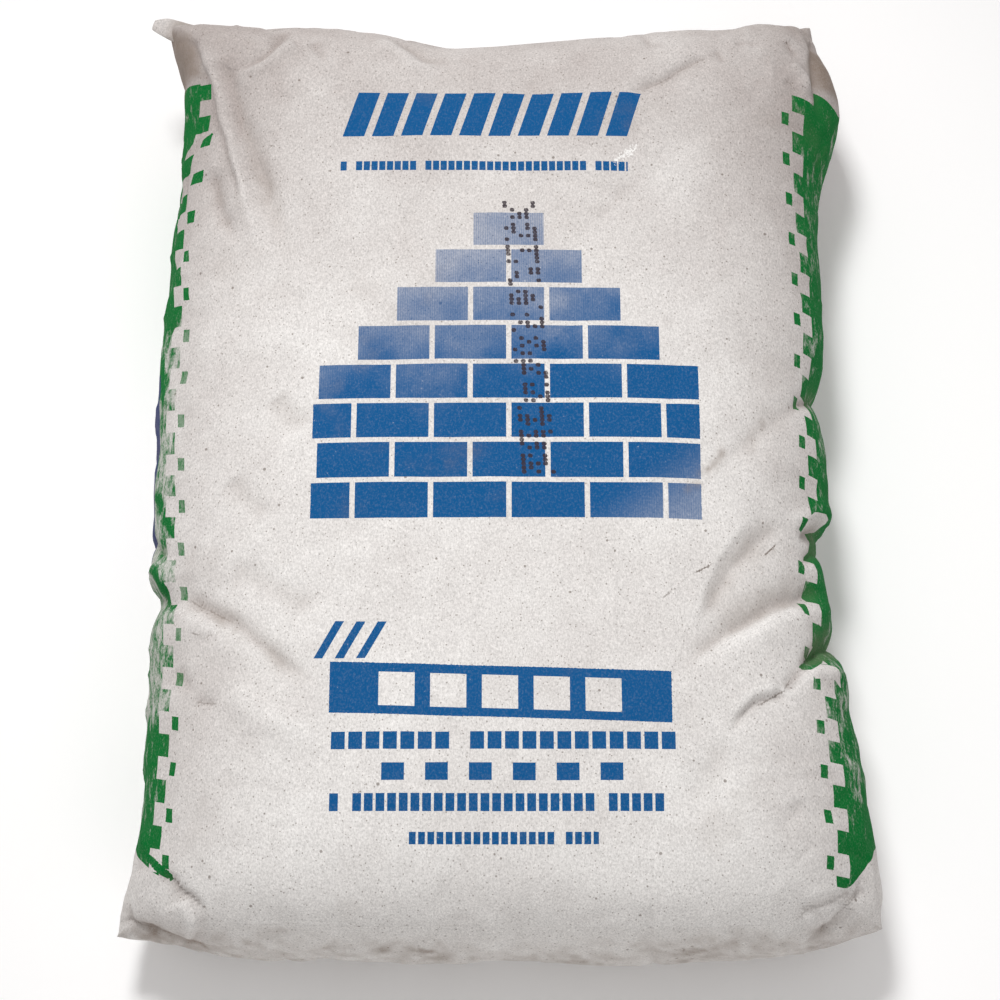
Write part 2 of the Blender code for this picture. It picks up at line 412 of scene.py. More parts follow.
@dataclass(frozen=True)
class Crumple:
    """Folds, dents and crinkles of the filled paper.

    Deepening scales the depth of every fold, and wander shifts the folds' lines a little. The waves
    are soft swells all over the skin and on its edges, each with its height and pitch. Everything
    fades out from the floor fade's height down to the floor.
    """

    creases: tuple[Crease, ...] = (
        Crease("left_waist", 4.8, (6, 10), 1.1, (0.2, 0.35), (
            (-213, -103), (-200, -107), (-190, -116), (-179, -123), (-169, -129), (-158, -139),
            (-146, -148), (-134, -159), (-123, -167), (-107, -176))),
        Crease("left_waist_lobe", -3.6, (8, 12), 1.8, (0.2, 0.5), (
            (-205, -116), (-186, -131), (-166, -142), (-148, -153), (-132, -165))),
        Crease("left_waist_tuck", 2.4, (5, 5), 1.12, (0.0, 0.5), (
            (-228, -90), (-217, -105), (-203, -114))),
        Crease("left_lobe_side", 1.8, (4, 7), 1.5, (0.3, 0.4), (
            (-208, -150), (-199, -166), (-194, -177))),
        Crease("left_wrinkle", 1.7, (3, 4), 1.12, (0.3, 0.4), ((-194, -177), (-186, -179), (-175, -182))),
        Crease("left_crack_fold", 1.2, (3, 5), 1.12, (0.3, 0.4), (
            (-195, -134), (-186, -139), (-178, -136), (-171, -138))),
        Crease("left_soft_fold", -2.6, (9, 10), 2.0, (0.3, 0.4), (
            (-174, -174), (-141, -196), (-110, -213))),
        Crease("left_soft_valley", 1.6, (9, 12), 2.0, (0.1, 0.3), (
            (-174, -95), (-160, -99), (-135, -114), (-107, -131))),
        Crease("left_upper_valley", 1.5, (8, 9), 1.8, (0.1, 0.3), (
            (-176, -34), (-162, -49), (-147, -64))),
        Crease("left_middle_dent", 1.3, (8, 9), 2.0, (0.1, 0.3), ((-148, 22), (-137, 9), (-126, -5))),
        Crease("left_side_nick", 3, (4, 4), 1.16, (0.0, 0.5), ((-231, -56), (-223, -69), (-213, -83))),
        Crease("left_side_puff", -2.4, (6, 6), 1.8, (0.2, 0.3), ((-227, -74), (-218, -89), (-215, -98))),
        Crease("right_upper_tuck", 3.6, (4, 5), 1.12, (0.0, 0.6), (
            (215, 47), (208, 37), (194, 25), (187, 13))),
        Crease("right_upper_shade", 2, (8, 10), 1.5, (0.2, 0.5), (
            (191, 30), (182, 13), (168, -3), (132, -35))),
        Crease("right_waist_lobe", -3.2, (6, 7), 1.8, (0.0, 0.35), (
            (217, -37), (205, -47), (194, -55), (187, -64))),
        Crease("right_waist_tuck", 5, (5, 6), 1.12, (0.0, 0.5), (
            (215, -49), (209, -55), (199, -62), (193, -70))),
        Crease("right_waist_pinch", 3.6, (4, 5), 1.12, (0.0, 0.5), ((213, -64), (202, -75), (194, -86))),
        Crease("waist_dent_side", 3.4, (8, 11), 1.2, (0.2, 0.25), (
            (187, -56), (177, -64), (165, -76), (155, -87), (145, -99), (138, -110), (130, -124),
            (123, -135))),
        Crease("waist_dent_ridge", -1.6, (4, 10), 1.0, (0.25, 0.2), (
            (165, -55), (155, -66), (147, -75), (139, -89), (132, -103), (126, -118), (121, -136))),
        Crease("waist_dent_foot", 5.8, (5, 13), 1.08, (0.1, 0.5), (
            (213, -94), (196, -105), (186, -111), (175, -117), (164, -124), (153, -132), (140, -140),
            (127, -150), (117, -160), (104, -172))),
        Crease("waist_low_lobe", -2, (12, 7), 1.8, (0.2, 0.4), (
            (202, -116), (177, -127), (155, -143), (135, -156))),
        Crease("gusset_tuck", 7.5, (5, 8), 1.12, (0.0, 0.35), (
            (221, -128), (211, -138), (201, -149), (189, -157))),
        Crease("gusset_lobe", -2.2, (6, 5), 1.8, (0.0, 0.4), ((216, -152), (199, -159), (187, -167))),
        Crease("gusset_crease", 2.8, (3, 6), 1.08, (0.1, 0.2), (
            (197, -155), (187, -162), (181, -169), (179, -174))),
        Crease("gusset_tail", 2.6, (7, 3), 1.08, (0.1, 0.35), (
            (180, -173), (159, -183), (149, -192), (144, -201), (141, -206))),
        Crease("gusset_crest", -1.5, (3, 6), 1.5, (0.2, 0.3), (
            (176, -170), (158, -179), (148, -188), (142, -196))),
        Crease("right_low_shade", 1.2, (10, 10), 2.0, (0.3, 0.4), (
            (145, -202), (122, -240), (113, -264))),
        Crease("right_low_fold", 1, (6, 7), 1.6, (0.3, 0.4), ((192, -242), (175, -258), (166, -266))),
        Crease("foot_right_upper", 1.8, (2, 5), 1.05, (0.1, 0.3), (
            (221, -292), (209, -299), (204, -302), (191, -306), (185, -311), (178, -315))),
        Crease("foot_right_crest", -1.2, (4, 5), 1.5, (0.2, 0.3), (
            (214, -291), (197, -298), (184, -304))),
        Crease("foot_right_lower", 1.8, (3, 3), 1.05, (0.1, 0.3), (
            (229, -288), (224, -295), (219, -298), (213, -305), (206, -312), (202, -316), (199, -322))),
        Crease("foot_right_third", 1.6, (3, 5), 1.1, (0.2, 0.3), ((205, -313), (196, -318), (190, -322))),
        Crease("foot_left_ear", 3.4, (2, 5), 1.05, (0.2, 0.3), (
            (-212, -279), (-203, -287), (-198, -294), (-190, -299), (-185, -304), (-178, -309))),
        Crease("foot_left_facet", -3.4, (4, 6), 1.15, (0.2, 0.3), (
            (-197, -299), (-195, -306), (-191, -312), (-185, -316))),
        Crease("foot_left_edge", 3.2, (2, 3), 1.04, (0.0, 0.4), (
            (-237, -306), (-231, -311), (-223, -314), (-205, -320), (-183, -324), (-172, -326))),
        Crease("foot_middle_fold", 1.6, (4, 4), 1.08, (0.4, 0.0), ((93, -304), (92, -320), (97, -330))),
        Crease("foot_left_shade", 1, (8, 8), 2.0, (0.3, 0.4), ((-122, -307), (-135, -320), (-143, -326))),
        Crease("head_left_ridge", -4.4, (5, 6), 1.4, (0.1, 0.5), (
            (-207, 293), (-196, 264), (-189, 240), (-182, 212), (-175, 184), (-167, 150), (-158, 115))),
        Crease("head_left_line", 2, (2, 5), 1.1, (0.05, 0.15), (
            (-215, 304), (-211, 291), (-203, 275), (-198, 260), (-194, 239), (-187, 216), (-180, 189),
            (-176, 166))),
        Crease("head_left_valley", 3.4, (9, 6), 1.5, (0.1, 0.4), (
            (-193, 279), (-189, 262), (-181, 241), (-170, 209), (-161, 182), (-152, 150), (-147, 130))),
        Crease("head_left_step", 2.8, (6, 6), 1.5, (0.2, 0.35), (
            (-198, 203), (-194, 183), (-190, 165), (-182, 150), (-175, 133))),
        Crease("head_left_soft", 1.5, (9, 10), 2.0, (0.3, 0.5), (
            (-177, 218), (-168, 189), (-155, 159), (-141, 125), (-138, 97))),
        Crease("head_fold_one", 3.4, (5, 5), 1.15, (0.1, 0.4), (
            (-150, 307), (-154, 290), (-158, 281), (-164, 275), (-172, 270), (-180, 260))),
        Crease("head_fold_crest", -2.8, (6, 7), 1.8, (0.1, 0.5), (
            (-139, 287), (-152, 280), (-163, 269), (-174, 264), (-180, 249))),
        Crease("head_fold_two", 1.6, (5, 5), 1.5, (0.1, 0.5), ((-128, 290), (-123, 279), (-119, 267))),
        Crease("head_middle_crest", -2, (6, 8), 1.6, (0.25, 0.45), ((-88, 300), (-60, 273), (-35, 262))),
        Crease("head_middle_valley", 2.2, (8, 6), 1.6, (0.25, 0.45), (
            (-76, 304), (-52, 279), (-26, 271))),
        Crease("head_right_dent", 2.6, (3, 11), 1.12, (0.25, 0.3), (
            (88, 242), (102, 253), (114, 259), (124, 268), (137, 276), (152, 281))),
        Crease("head_right_hook", 1.4, (3, 3), 1.12, (0.2, 0.4), ((149, 286), (152, 280), (154, 271))),
        Crease("head_notch", 2, (4, 4), 1.12, (0.25, 0.45), ((98, 307), (103, 291), (117, 289))),
        Crease("head_tuck", 1.6, (3, 5), 1.12, (0.25, 0.45), ((161, 293), (172, 297), (184, 293))),
        Crease("corner_fold_one", 1.6, (2, 6), 1.05, (0.2, 0.4), (
            (202, 306), (204, 299), (207, 296), (211, 292))),
        Crease("corner_fold_two", 1.4, (4, 4), 1.05, (0.3, 0.4), (
            (196, 268), (202, 264), (205, 260), (210, 258))),
        Crease("corner_fold_crest", -2.4, (4, 4), 1.5, (0.1, 0.4), (
            (202, 284), (210, 275), (213, 265), (217, 257))),
        Crease("corner_side_fold", 3, (5, 5), 1.5, (0.1, 0.4), ((223, 323), (222, 267), (223, 240))),
    )
    wander: float = 0.0014
    wander_pitch: float = 0.016
    wander_seeds: tuple[int, int] = (1, 2)
    soft_seed: int = 20
    soft_waves: tuple[Span, ...] = ((0.0012, 0.085), (0.0007, 0.034), (0.0003, 0.014))
    edge_seed: int = 30
    edge_waves: tuple[Span, ...] = ((0.0012, 0.026), (0.0006, 0.011))
    deepening: float = 1.5
    crinkles: tuple[CrinkleSet, ...] = (
        CrinkleSet(320, (0.014, 0.055), (0.0002, 0.0010), (0.0015, 0.0045), 0.12, (0.45, 1.10), 11),
        CrinkleSet(110, (0.050, 0.130), (0.0004, 0.0011), (0.0050, 0.0110), 0.80, (0.80, 0.20), 12),
        CrinkleSet(260, (0.012, 0.040), (0.0001, 0.0004), (0.0012, 0.0030), 0.80, (0.80, 0.40), 13),
    )
    floor_fade: float = 0.030


@dataclass(frozen=True)
class Patch:
    """Closed outline on the paper, in paper coordinates in millimetres."""

    name: str
    outline: Line

    def inside(self, u: np.ndarray, v: np.ndarray) -> np.ndarray:
        """Measures how far inside the outline places are.

        A place is inside where a line from it to the right crosses the outline an odd number of
        times.

        Args:
            u: Paper coordinates across.
            v: Paper coordinates along.

        Returns:
            Distance from the outline in metres, below nought outside it.
        """
        closed = self.outline + self.outline[:1]
        distance, _, _ = Route(closed).measure(u, v)
        crossed = np.zeros(u.shape, bool)
        corners = np.array(closed) / MM
        for (au, av), (bu, bv) in zip(corners, corners[1:]):
            spans = (av > v) != (bv > v)
            meets = au + (v - av) / (bv - av or 1.0) * (bu - au)
            crossed ^= spans & (u < meets)
        return np.where(crossed, distance, -distance)


@dataclass(frozen=True)
class Mark:
    """Crack, painted crease shade line, smudge or scrape along a line on the paper, in paper coordinates in
    millimetres.
    """

    name: str
    amount: float
    reach: float
    line: Line

    def cover(self, u: np.ndarray, v: np.ndarray) -> np.ndarray:
        """Spreads the mark as amount * exp(-(distance / reach)^2)."""
        distance, _, _ = Route(self.line).measure(u, v)
        return self.amount * np.exp(-((distance / (self.reach / MM)) ** 2))


@dataclass(frozen=True)
class Wear:
    """Where dirt, dust, cracks, rubbing and painted shade and light lie on the sack, in paper coordinates.

    Soil, shade and rub are shares from 0 to 1; the shade is painted shade and light, mixed into the
    paper's tone. Foot soil rises with the distance beyond the foot line, fold soil, which is dirt and
    painted shade in the folds, with the depth below the plain form, head soil and the painted shade
    and light at the ends with the place along, and the painted shade at the sides with the place
    across. Hollows get painted shade and ridges a painted highlight. The dark facets are dirt and
    painted shade, and some of the cracks are dark lines along creases, which are painted crease
    shade. The rubbed zones are given by side, lowest and highest place along, and share.
    """

    foot_line: float = -0.324
    foot_soil: Rise = Rise(0.46, 0.0, 0.040)
    head_soil: Rise = Rise(0.25, 0.300, 0.370)
    # Dirt and painted shade in the folds, growing with their depth below the plain form.
    fold_soil_and_shade: Rise = Rise(0.30, 0.0008, 0.0055)
    blotch_soil: Rise = Rise(0.10, 0.45, 1.2)
    # Painted shade darker towards the head, painted light towards the foot, painted shade at the sides.
    head_painted_shade: Rise = Rise(0.52, 0.02, 0.30)
    foot_painted_light: Rise = Rise(0.14, -0.22, -0.30)
    side_painted_shade: Rise = Rise(0.24, 0.12, 0.22)
    # Painted shade in hollows and painted highlight on ridges, per millimetre of depth, kept to the range
    # below.
    hollow_painted_shade: float = 0.13
    hollow_range: Span = (-0.12, 0.30)
    ragged: Haze = Haze(47, 0.020, 3, 0.75)
    broken: Haze = Haze(48, 0.007, 2, 0.8)
    blotches: Haze = Haze(44, 0.045, 4, 0.7)
    foot_gain: Gain = Gain(0.9, 0.6, 0.2, 1.6)
    soil_gain: Gain = Gain(0.75, 0.55)
    facet_gain: Gain = Gain(0.85, 0.30)
    smudge_gain: Gain = Gain(0.65, 0.9, 0.0, 1.5)
    dust_gain: Gain = Gain(0.65, 0.7, 0.0, 1.2)
    facet_rim: float = 0.3
    rubbed: tuple[tuple[Side, float, float, float], ...] = (
        (Side.LEFT, -0.185, 0.090, 0.66), (Side.RIGHT, -0.235, -0.125, 0.34),
        (Side.RIGHT, 0.115, 0.235, 0.30),
    )
    zone_softness: Span = (0.014, 0.025)
    light_rub: float = 0.10
    patch_rub: Rise = Rise(0.36, 0.1, 0.9)
    rub_patches: Haze = Haze(57, 0.040, 3, 0.6)
    streak_rub: float = 0.20
    rub_streaks: Haze = Haze(52, 0.014, 3, 0.7)
    streak_stretch: Place = (1.0, 0.35, 0.8)
    crack_and_shade_fade: float = 0.12
    crack_and_shade_edge: Span = (1.5, 0.7)
    crack_and_shade_gaps: Haze = Haze(49, 0.008, 2, 0.7)
    crack_and_shade_span: Span = (-0.7, 0.3)
    unlined: float = 9.0
    # Cracks, and dark lines along creases that are painted crease shade.
    cracks_and_crease_shade: tuple[Mark, ...] = (
        Mark("left_crack", 0.85, 4.5, ((-198.3, -134.9), (-191.9, -137), (-188.6, -139.7), (-183.3, -138))),
        Mark("left_wrinkle", 0.4, 4.5, ((-195, -179.2), (-188.4, -181.5), (-177.7, -182.9))),
        Mark("waist_crack_low", 0.85, 4.5, (
            (101.4, -118.2), (116, -104.8), (123.1, -99.9), (131.6, -95), (142.5, -87.5))),
        Mark("waist_crack_high", 0.85, 4.5, ((170.6, -84.3), (173.6, -81.7), (179.7, -76.4), (182.7, -73))),
        # From here down, dark lines along the creases: painted crease shade.
        Mark("head_ridge_line", 0.16, 4.5, (
            (-197.1, 246.8), (-189.9, 223.2), (-185.2, 196.7), (-180.5, 175.2), (-178.2, 166.5))),
        Mark("gusset_line", 0.6, 4.5, ((187, -164), (180, -174), (160, -186))),
        Mark("foot_right_upper_line", 0.26, 4, (
            (230.7, -296.2), (211.9, -313), (205.6, -316.2), (192.5, -319.4), (185.3, -324.9),
            (179.9, -330.1))),
        Mark("foot_right_lower_line", 0.34, 4, (
            (240, -295), (231.8, -301.7), (214.9, -324.3), (207.3, -334.8), (203, -344.8),
            (199.8, -359.4))),
        Mark("foot_left_ear_line", 0.4, 4, (
            (-209.3, -289.5), (-203.7, -298.6), (-194.5, -308.3), (-185.7, -314.2), (-179.4, -319.5))),
        Mark("foot_left_facet_line", 0.26, 4, ((-199.2, -305.1), (-200.2, -320))),
        Mark("foot_left_edge_line", 0.45, 4, (
            (-260.4, -309.9), (-233.6, -343.8), (-224.5, -347.6), (-205.9, -355.1), (-183.3, -365.9))),
        Mark("head_dent_line", 0.24, 4, (
            (99.5, 250), (114.7, 259.8), (124.9, 268.9), (137, 277.2), (147.1, 281.3))),
        Mark("corner_line", 0.26, 4, ((208.2, 309.1), (209.8, 301.6), (213.7, 298.7))),
        Mark("corner_low_line", 0.22, 4, ((198.5, 270.4), (205.6, 266.3), (208.8, 262.1))),
        Mark("left_waist_line", 0.34, 4, (
            (-209.5, -106.8), (-193.7, -116.4), (-181.1, -124.1), (-170.2, -130.2))),
        Mark("foot_middle_line", 0.5, 4.5, ((92.5, -350), (91.5, -368))),
    )
    smudges: tuple[Mark, ...] = (
        Mark("waist_smudge", 0.58, 3.4, ((121.9, -43), (130.9, -32.9), (141.2, -24), (143.2, -17.7))),
        Mark("upper_smudge", 0.22, 5, ((159.6, -16.4), (167.8, 0), (172.9, 6.4))),
        Mark("crack_soil", 0.30, 2.2, ((174, -83), (179, -79))),
        Mark("stain", 0.16, 9, ((-38.8, -26.6), (-19, -19))),
        Mark("foot_dirt", 0.85, 6, ((-43.1, -354.6), (-33.3, -360.2))),
        Mark("left_waist_soil", 0.30, 5, ((-205, -108), (-182, -124), (-165, -140))),
    )
    scrapes: tuple[Mark, ...] = (
        Mark("head_scrape", 0.80, 4.5, ((77.3, 192.4), (83.8, 197.9), (92.1, 202.5))),
        Mark("left_waist_dust", 0.4, 7, ((-206.5, -118.5), (-191.9, -127.7), (-176.5, -135.8))),
        Mark("left_knot", 0.75, 4.5, ((-230, -112), (-220, -116))),
    )
    kept_green: tuple[Mark, ...] = (
        Mark("dark_streak", 0.8, 3, ((-248, -28), (-230, -48.7), (-218.1, -64.9))),
        Mark("dark_tuck", 0.8, 5, ((-240, -83), (-233, -100), (-223, -108))),
        Mark("dark_rim", 0.7, 5, ((-250, 70), (-244, 45))),
    )
    # Dark corner facets: dirt and painted shade on facets turned from the light.
    soiled_and_shaded_facets: tuple[tuple[Patch, float, float], ...] = (
        (Patch("valve_corner", (
            (-250, 330), (-220.5, 310), (-211.9, 284.7), (-204.6, 267.8), (-234.5, 275.1),
            (-242.3, 266.9), (-290, 290), (-290, 330))), 0.85, 0.010),
        (Patch("right_corner", (
            (237.8, 321.6), (290, 312.7), (290, 275), (235.7, 270.1), (224.3, 270.8),
            (221.5, 292.2))), 0.95, 0.008),
    )

    def crack_and_shade_lines(self, u: np.ndarray, v: np.ndarray) -> tuple[np.ndarray, np.ndarray]:
        """Measures places against the nearest of the cracks and the painted crease shade lines.

        Args:
            u: Paper coordinates across.
            v: Paper coordinates along.

        Returns:
            Distance in millimetres with the sign of the line's hand, and strength of the line,
            which is nought off its length and beyond its reach.
        """
        nearest = np.full(u.shape, np.inf)
        signed = np.full(u.shape, self.unlined)
        strength = np.zeros(u.shape)
        for crack in self.cracks_and_crease_shade:
            distance, hand, share = Route(crack.line).measure(u, v)
            ends = smooth_step(0.0, self.crack_and_shade_fade, share) * smooth_step(0.0, self.crack_and_shade_fade, 1 - share)
            outer, inner = (part * (crack.reach / MM) for part in self.crack_and_shade_edge)
            nearer = distance < nearest
            nearest = np.where(nearer, distance, nearest)
            signed = np.where(nearer, distance * hand * MM, signed)
            amount = crack.amount * ends * smooth_step(outer, inner, distance)
            strength = np.where(nearer, amount, strength)
        flat = np.stack([u, v, np.zeros(u.shape)], axis=-1)
        strength *= smooth_step(*self.crack_and_shade_span, self.crack_and_shade_gaps.at(flat))
        return signed, strength

    def rubbing(self, u: np.ndarray, v: np.ndarray, base: np.ndarray) -> np.ndarray:
        """Works out how much of the green ink is rubbed off.

        The bands are rubbed in some zones, in streaks that run along them, and have light patches
        elsewhere.

        Args:
            u: Paper coordinates across.
            v: Paper coordinates along.
            base: Points of the plain skin.

        Returns:
            Share from 0 to 1 at each point.
        """
        rub = self.light_rub + self.patch_rub.at(self.rub_patches.at(base))
        soft_low, soft_high = self.zone_softness
        for side, low, high, amount in self.rubbed:
            zone = smooth_step(low - soft_low, low + soft_low, v)
            zone = zone * smooth_step(high + soft_high, high - soft_high, v)
            rub = np.maximum(rub, np.where(u * side.value > 0, amount * zone, 0.0))
        rub += self.streak_rub * self.rub_streaks.at(base * np.array(self.streak_stretch))
        for mark in self.kept_green:
            rub -= mark.cover(u, v)
        return np.clip(rub, 0.0, 1.0)

    def traits(
        self, place: np.ndarray, base: np.ndarray, lift: np.ndarray, hollow: np.ndarray
    ) -> dict[str, np.ndarray]:
        """Works out dirt, dust, cracks, rubbing and painted shade and light at each point.

        Args:
            place: Paper coordinates of the points.
            base: Points of the plain skin.
            lift: Lift of each point out of the plain form.
            hollow: Depth of each point below its neighbourhood.

        Returns:
            One value for each point by name.
        """
        u, v = place[:, 0], place[:, 1]
        ragged = self.ragged.at(base)
        broken = self.broken.at(base)
        foot = self.foot_soil.at(self.foot_line - v) * self.foot_gain.at(broken)
        # Dirt at the foot and head, and dirt with painted shade in the folds.
        soil = (foot + self.head_soil.at(v) + self.fold_soil_and_shade.at(-lift)) * self.soil_gain.at(ragged)
        soil += self.blotch_soil.at(self.blotches.at(base))
        # Dirt and painted shade on the dark corner facets.
        for patch, amount, soft in self.soiled_and_shaded_facets:
            inside = smooth_step(-self.facet_rim * soft, soft, patch.inside(u, v))
            soil = np.maximum(soil, amount * inside * self.facet_gain.at(ragged))
        for smudge in self.smudges:
            soil = np.maximum(soil, smudge.cover(u, v) * self.smudge_gain.at(broken))
        dust = sum(scrape.cover(u, v) for scrape in self.scrapes) * self.dust_gain.at(broken)
        crack, strength = self.crack_and_shade_lines(u, v)
        # Painted shade at the head and the sides, painted light at the foot.
        shade = self.head_painted_shade.at(v) - self.foot_painted_light.at(v) + self.side_painted_shade.at(np.abs(u))
        # Painted shade in hollows and painted highlight on ridges.
        painted_fold_shade = np.clip(hollow * MM * self.hollow_painted_shade, *self.hollow_range)
        # tone holds random paper clouds plus painted shade and light; soil holds dirt plus painted shade.
        return {
            "tone": np.clip(cloudiness(base) + shade + painted_fold_shade, 0.0, 1.0),
            "soil": np.clip(soil, 0.0, 1.0),
            "dust": dust, "crack": crack, "crack_strength": strength,
            "rub": self.rubbing(u, v, base),
        }


PAPER_CLOUDS = Haze(41, 0.060, 5, 0.72)
PAPER_TONE = Gain(0.16, 0.16)


def cloudiness(points: np.ndarray) -> np.ndarray:
    """Dull clouds in the recycled paper, from 0 to about a half."""
    return PAPER_TONE.at(PAPER_CLOUDS.at(points))


def operator(operation: str, swapped: bool = False) -> Callable[..., "Term"]:
    """Makes a method that adds a Math node for one operation.

    Args:
        operation: Operation of the Math node.
        swapped: Whether the method's own number comes last, as the mask does in 1 - mask.

    Returns:
        The method.
    """

    def method(term: "Term", *others: Number) -> "Term":
        """Adds the node for a number and, where the operation takes one, another number."""
        values = (*others, term) if swapped else (term, *others)
        return term.graph.math(operation, *values)

    return method


@dataclass(frozen=True, eq=False)
class Wire:
    """Output socket in the node tree of a finish."""

    graph: "Graph"
    socket: bpy.types.NodeSocket


class Term(Wire):
    """Number at a shader socket. Sums with it add Math nodes.

    A comparison gives 1 where it holds and else 0, most gives the higher of two numbers, whole
    rounds down to a whole number, and part is what is left over it.
    """

    __add__ = operator("ADD")
    __radd__ = operator("ADD", swapped=True)
    __sub__ = operator("SUBTRACT")
    __rsub__ = operator("SUBTRACT", swapped=True)
    __mul__ = operator("MULTIPLY")
    __rmul__ = operator("MULTIPLY", swapped=True)
    __truediv__ = operator("DIVIDE")
    __lt__ = operator("LESS_THAN")
    __gt__ = operator("GREATER_THAN")
    __pow__ = operator("POWER")
    __abs__ = operator("ABSOLUTE")
    most = operator("MAXIMUM")
    whole = operator("FLOOR")
    part = operator("FRACT")

    def rise(self, low: float, high: float) -> "Term":
        """Eases from 0 at low to 1 at high; low may be the higher one."""
        return self.graph.number(
            "ShaderNodeMapRange", {"interpolation_type": "SMOOTHSTEP"},
            {"Value": self, "From Min": low, "From Max": high}, "Result",
        )

    def within(self, low: float, high: float) -> "Term":
        """1 between the two numbers, else 0."""
        return abs(self - (low + high) / 2) < (high - low) / 2


class Tint(Wire):
    """Colour at a shader socket."""

    def __mul__(self, share: Number) -> "Tint":
        """The colour made lighter or darker by a number."""
        node = self.graph.node(
            "ShaderNodeVectorMath", {"operation": "SCALE"}, {"Vector": self, "Scale": share}
        )
        return Tint(self.graph, node.outputs["Vector"])

    def towards(self, colour: "Tint | Colour", share: Number) -> "Tint":
        """Mixes another colour in by a share from 0 to 1."""
        return self.graph.blend(self, colour, share)


class Graph:
    """Node tree of one finish."""

    def __init__(self, name: str) -> None:
        """Starts a material with its shader and its output.

        Args:
            name: Name of the material.
        """
        self.material = bpy.data.materials.new(name)
        self.material.use_nodes = True
        self.tree = self.material.node_tree
        self.tree.nodes.clear()
        self.shader = self.node("ShaderNodeBsdfPrincipled")
        output = self.node("ShaderNodeOutputMaterial")
        self.tree.links.new(self.shader.outputs["BSDF"], output.inputs["Surface"])

    def node(
        self, kind: str, settings: dict[str, object] | None = None,
        inputs: dict[str, object] | None = None,
    ) -> bpy.types.Node:
        """Adds a node.

        Args:
            kind: Node type.
            settings: Properties of the node, set before its sockets.
            inputs: Values or links by socket name or identifier.

        Returns:
            The new node.
        """
        made = self.tree.nodes.new(kind)
        for name, value in (settings or {}).items():
            setattr(made, name, value)
        for name, value in (inputs or {}).items():
            self.feed(made, name, value)
        return made

    def feed(self, node: bpy.types.Node, name: str, value: object) -> None:
        """Sets or links one socket.

        Args:
            node: Node of the socket.
            name: Identifier of the socket, or else its name.
            value: Value, or the socket that it is linked to.
        """
        known = {socket.identifier: socket for socket in node.inputs}
        socket = known.get(name) or node.inputs[name]
        if isinstance(value, Wire):
            self.tree.links.new(value.socket, socket)
        elif isinstance(value, bpy.types.NodeSocket):
            self.tree.links.new(value, socket)
        elif isinstance(value, tuple) and socket.type == "RGBA":
            socket.default_value = (*value, 1.0)
        else:
            socket.default_value = value

    def number(
        self, kind: str, settings: dict[str, object], inputs: dict[str, object], output: str
    ) -> Term:
        """Adds a node and takes one of its outputs as a number."""
        return Term(self, self.node(kind, settings, inputs).outputs[output])

    def math(self, operation: str, *values: Number) -> Term:
        """Adds a Math node for one operation on numbers."""
        names = ("Value", "Value_001", "Value_002")
        return self.number(
            "ShaderNodeMath", {"operation": operation}, dict(zip(names, values)), "Value"
        )

    def blend(self, first: "Tint | Colour", second: "Tint | Colour", share: Number) -> Tint:
        """Mixes two colours.

        Args:
            first: Colour where the share is 0.
            second: Colour where the share is 1.
            share: Share of the second from 0 to 1.

        Returns:
            The mixed colour.
        """
        inputs = {"Factor_Float": share, "A_Color": first, "B_Color": second}
        node = self.node("ShaderNodeMix", {"data_type": "RGBA"}, inputs)
        return Tint(self, node.outputs[2])

    def trait(self, name: str) -> Term:
        """Number kept at the points of the piece."""
        return self.number("ShaderNodeAttribute", {"attribute_name": name}, {}, "Fac")

    def parts(self, vector: bpy.types.NodeSocket) -> tuple[Term, Term, Term]:
        """Splits a vector into its three numbers."""
        node = self.node("ShaderNodeSeparateXYZ", {}, {"Vector": vector})
        return tuple(Term(self, output) for output in node.outputs)

    def corner_trait(self, name: str) -> tuple[Term, Term, Term]:
        """Three numbers kept at the face corners of the piece."""
        node = self.node("ShaderNodeAttribute", {"attribute_name": name})
        return self.parts(node.outputs["Vector"])

    def paper(self) -> bpy.types.NodeSocket:
        """Paper coordinates of the piece in metres."""
        return self.node("ShaderNodeUVMap", {"uv_map": "paper"}).outputs["UV"]

    def chance(self, **inputs: object) -> Term:
        """Random number from 0 to 1 for each place of a Vector or each number of a W."""
        settings = {"noise_dimensions": "1D" if "W" in inputs else "3D"}
        return self.number("ShaderNodeTexWhiteNoise", settings, inputs, "Value")

    def noise(
        self, place: bpy.types.NodeSocket, pitch: float, detail: float, roughness: float,
        stretch: Place = (1.0, 1.0, 1.0), turn: float = 0.35,
    ) -> Term:
        """Adds a cloudy pattern.

        Args:
            place: Where it is read.
            pitch: Length of its largest cells in metres.
            detail: Number of finer layers.
            roughness: Strength of the finer layers.
            stretch: Scale on each axis.
            turn: Turn of a stretched pattern about the upright in radians.

        Returns:
            Value around a half.
        """
        if stretch != (1.0, 1.0, 1.0):
            inputs = {"Vector": place, "Scale": stretch, "Rotation": (0.0, 0.0, turn)}
            place = self.node("ShaderNodeMapping", {}, inputs).outputs["Vector"]
        inputs = {"Vector": place, "Scale": 1.0 / pitch, "Detail": detail, "Roughness": roughness}
        return self.number("ShaderNodeTexNoise", {}, inputs, "Fac")

    def flecks(
        self, pitch: float, size: float, share: float, rarity: float = 1.6,
        rim: Span = (-0.0001, 0.0004),
    ) -> Term:
        """Adds scattered flecks, one in each random cell of the paper, many small and few large.

        Args:
            pitch: Width of a cell in metres.
            size: Radius of the largest flecks in metres.
            share: Share of the cells that hold one.
            rarity: How much rarer the large ones are.
            rim: Places inside a fleck's edge between which it rises from 0 to 1.

        Returns:
            1 in a fleck, else 0, with soft edges.
        """
        cell = self.node(
            "ShaderNodeTexVoronoi", {"voronoi_dimensions": "2D"},
            {"Vector": self.paper(), "Scale": 1.0 / pitch},
        )
        chance = self.chance(Vector=cell.outputs["Position"])
        radius = size / pitch * (1 - chance / share).most(0.0) ** rarity
        return (radius - Term(self, cell.outputs["Distance"])).rise(rim[0] / pitch, rim[1] / pitch)


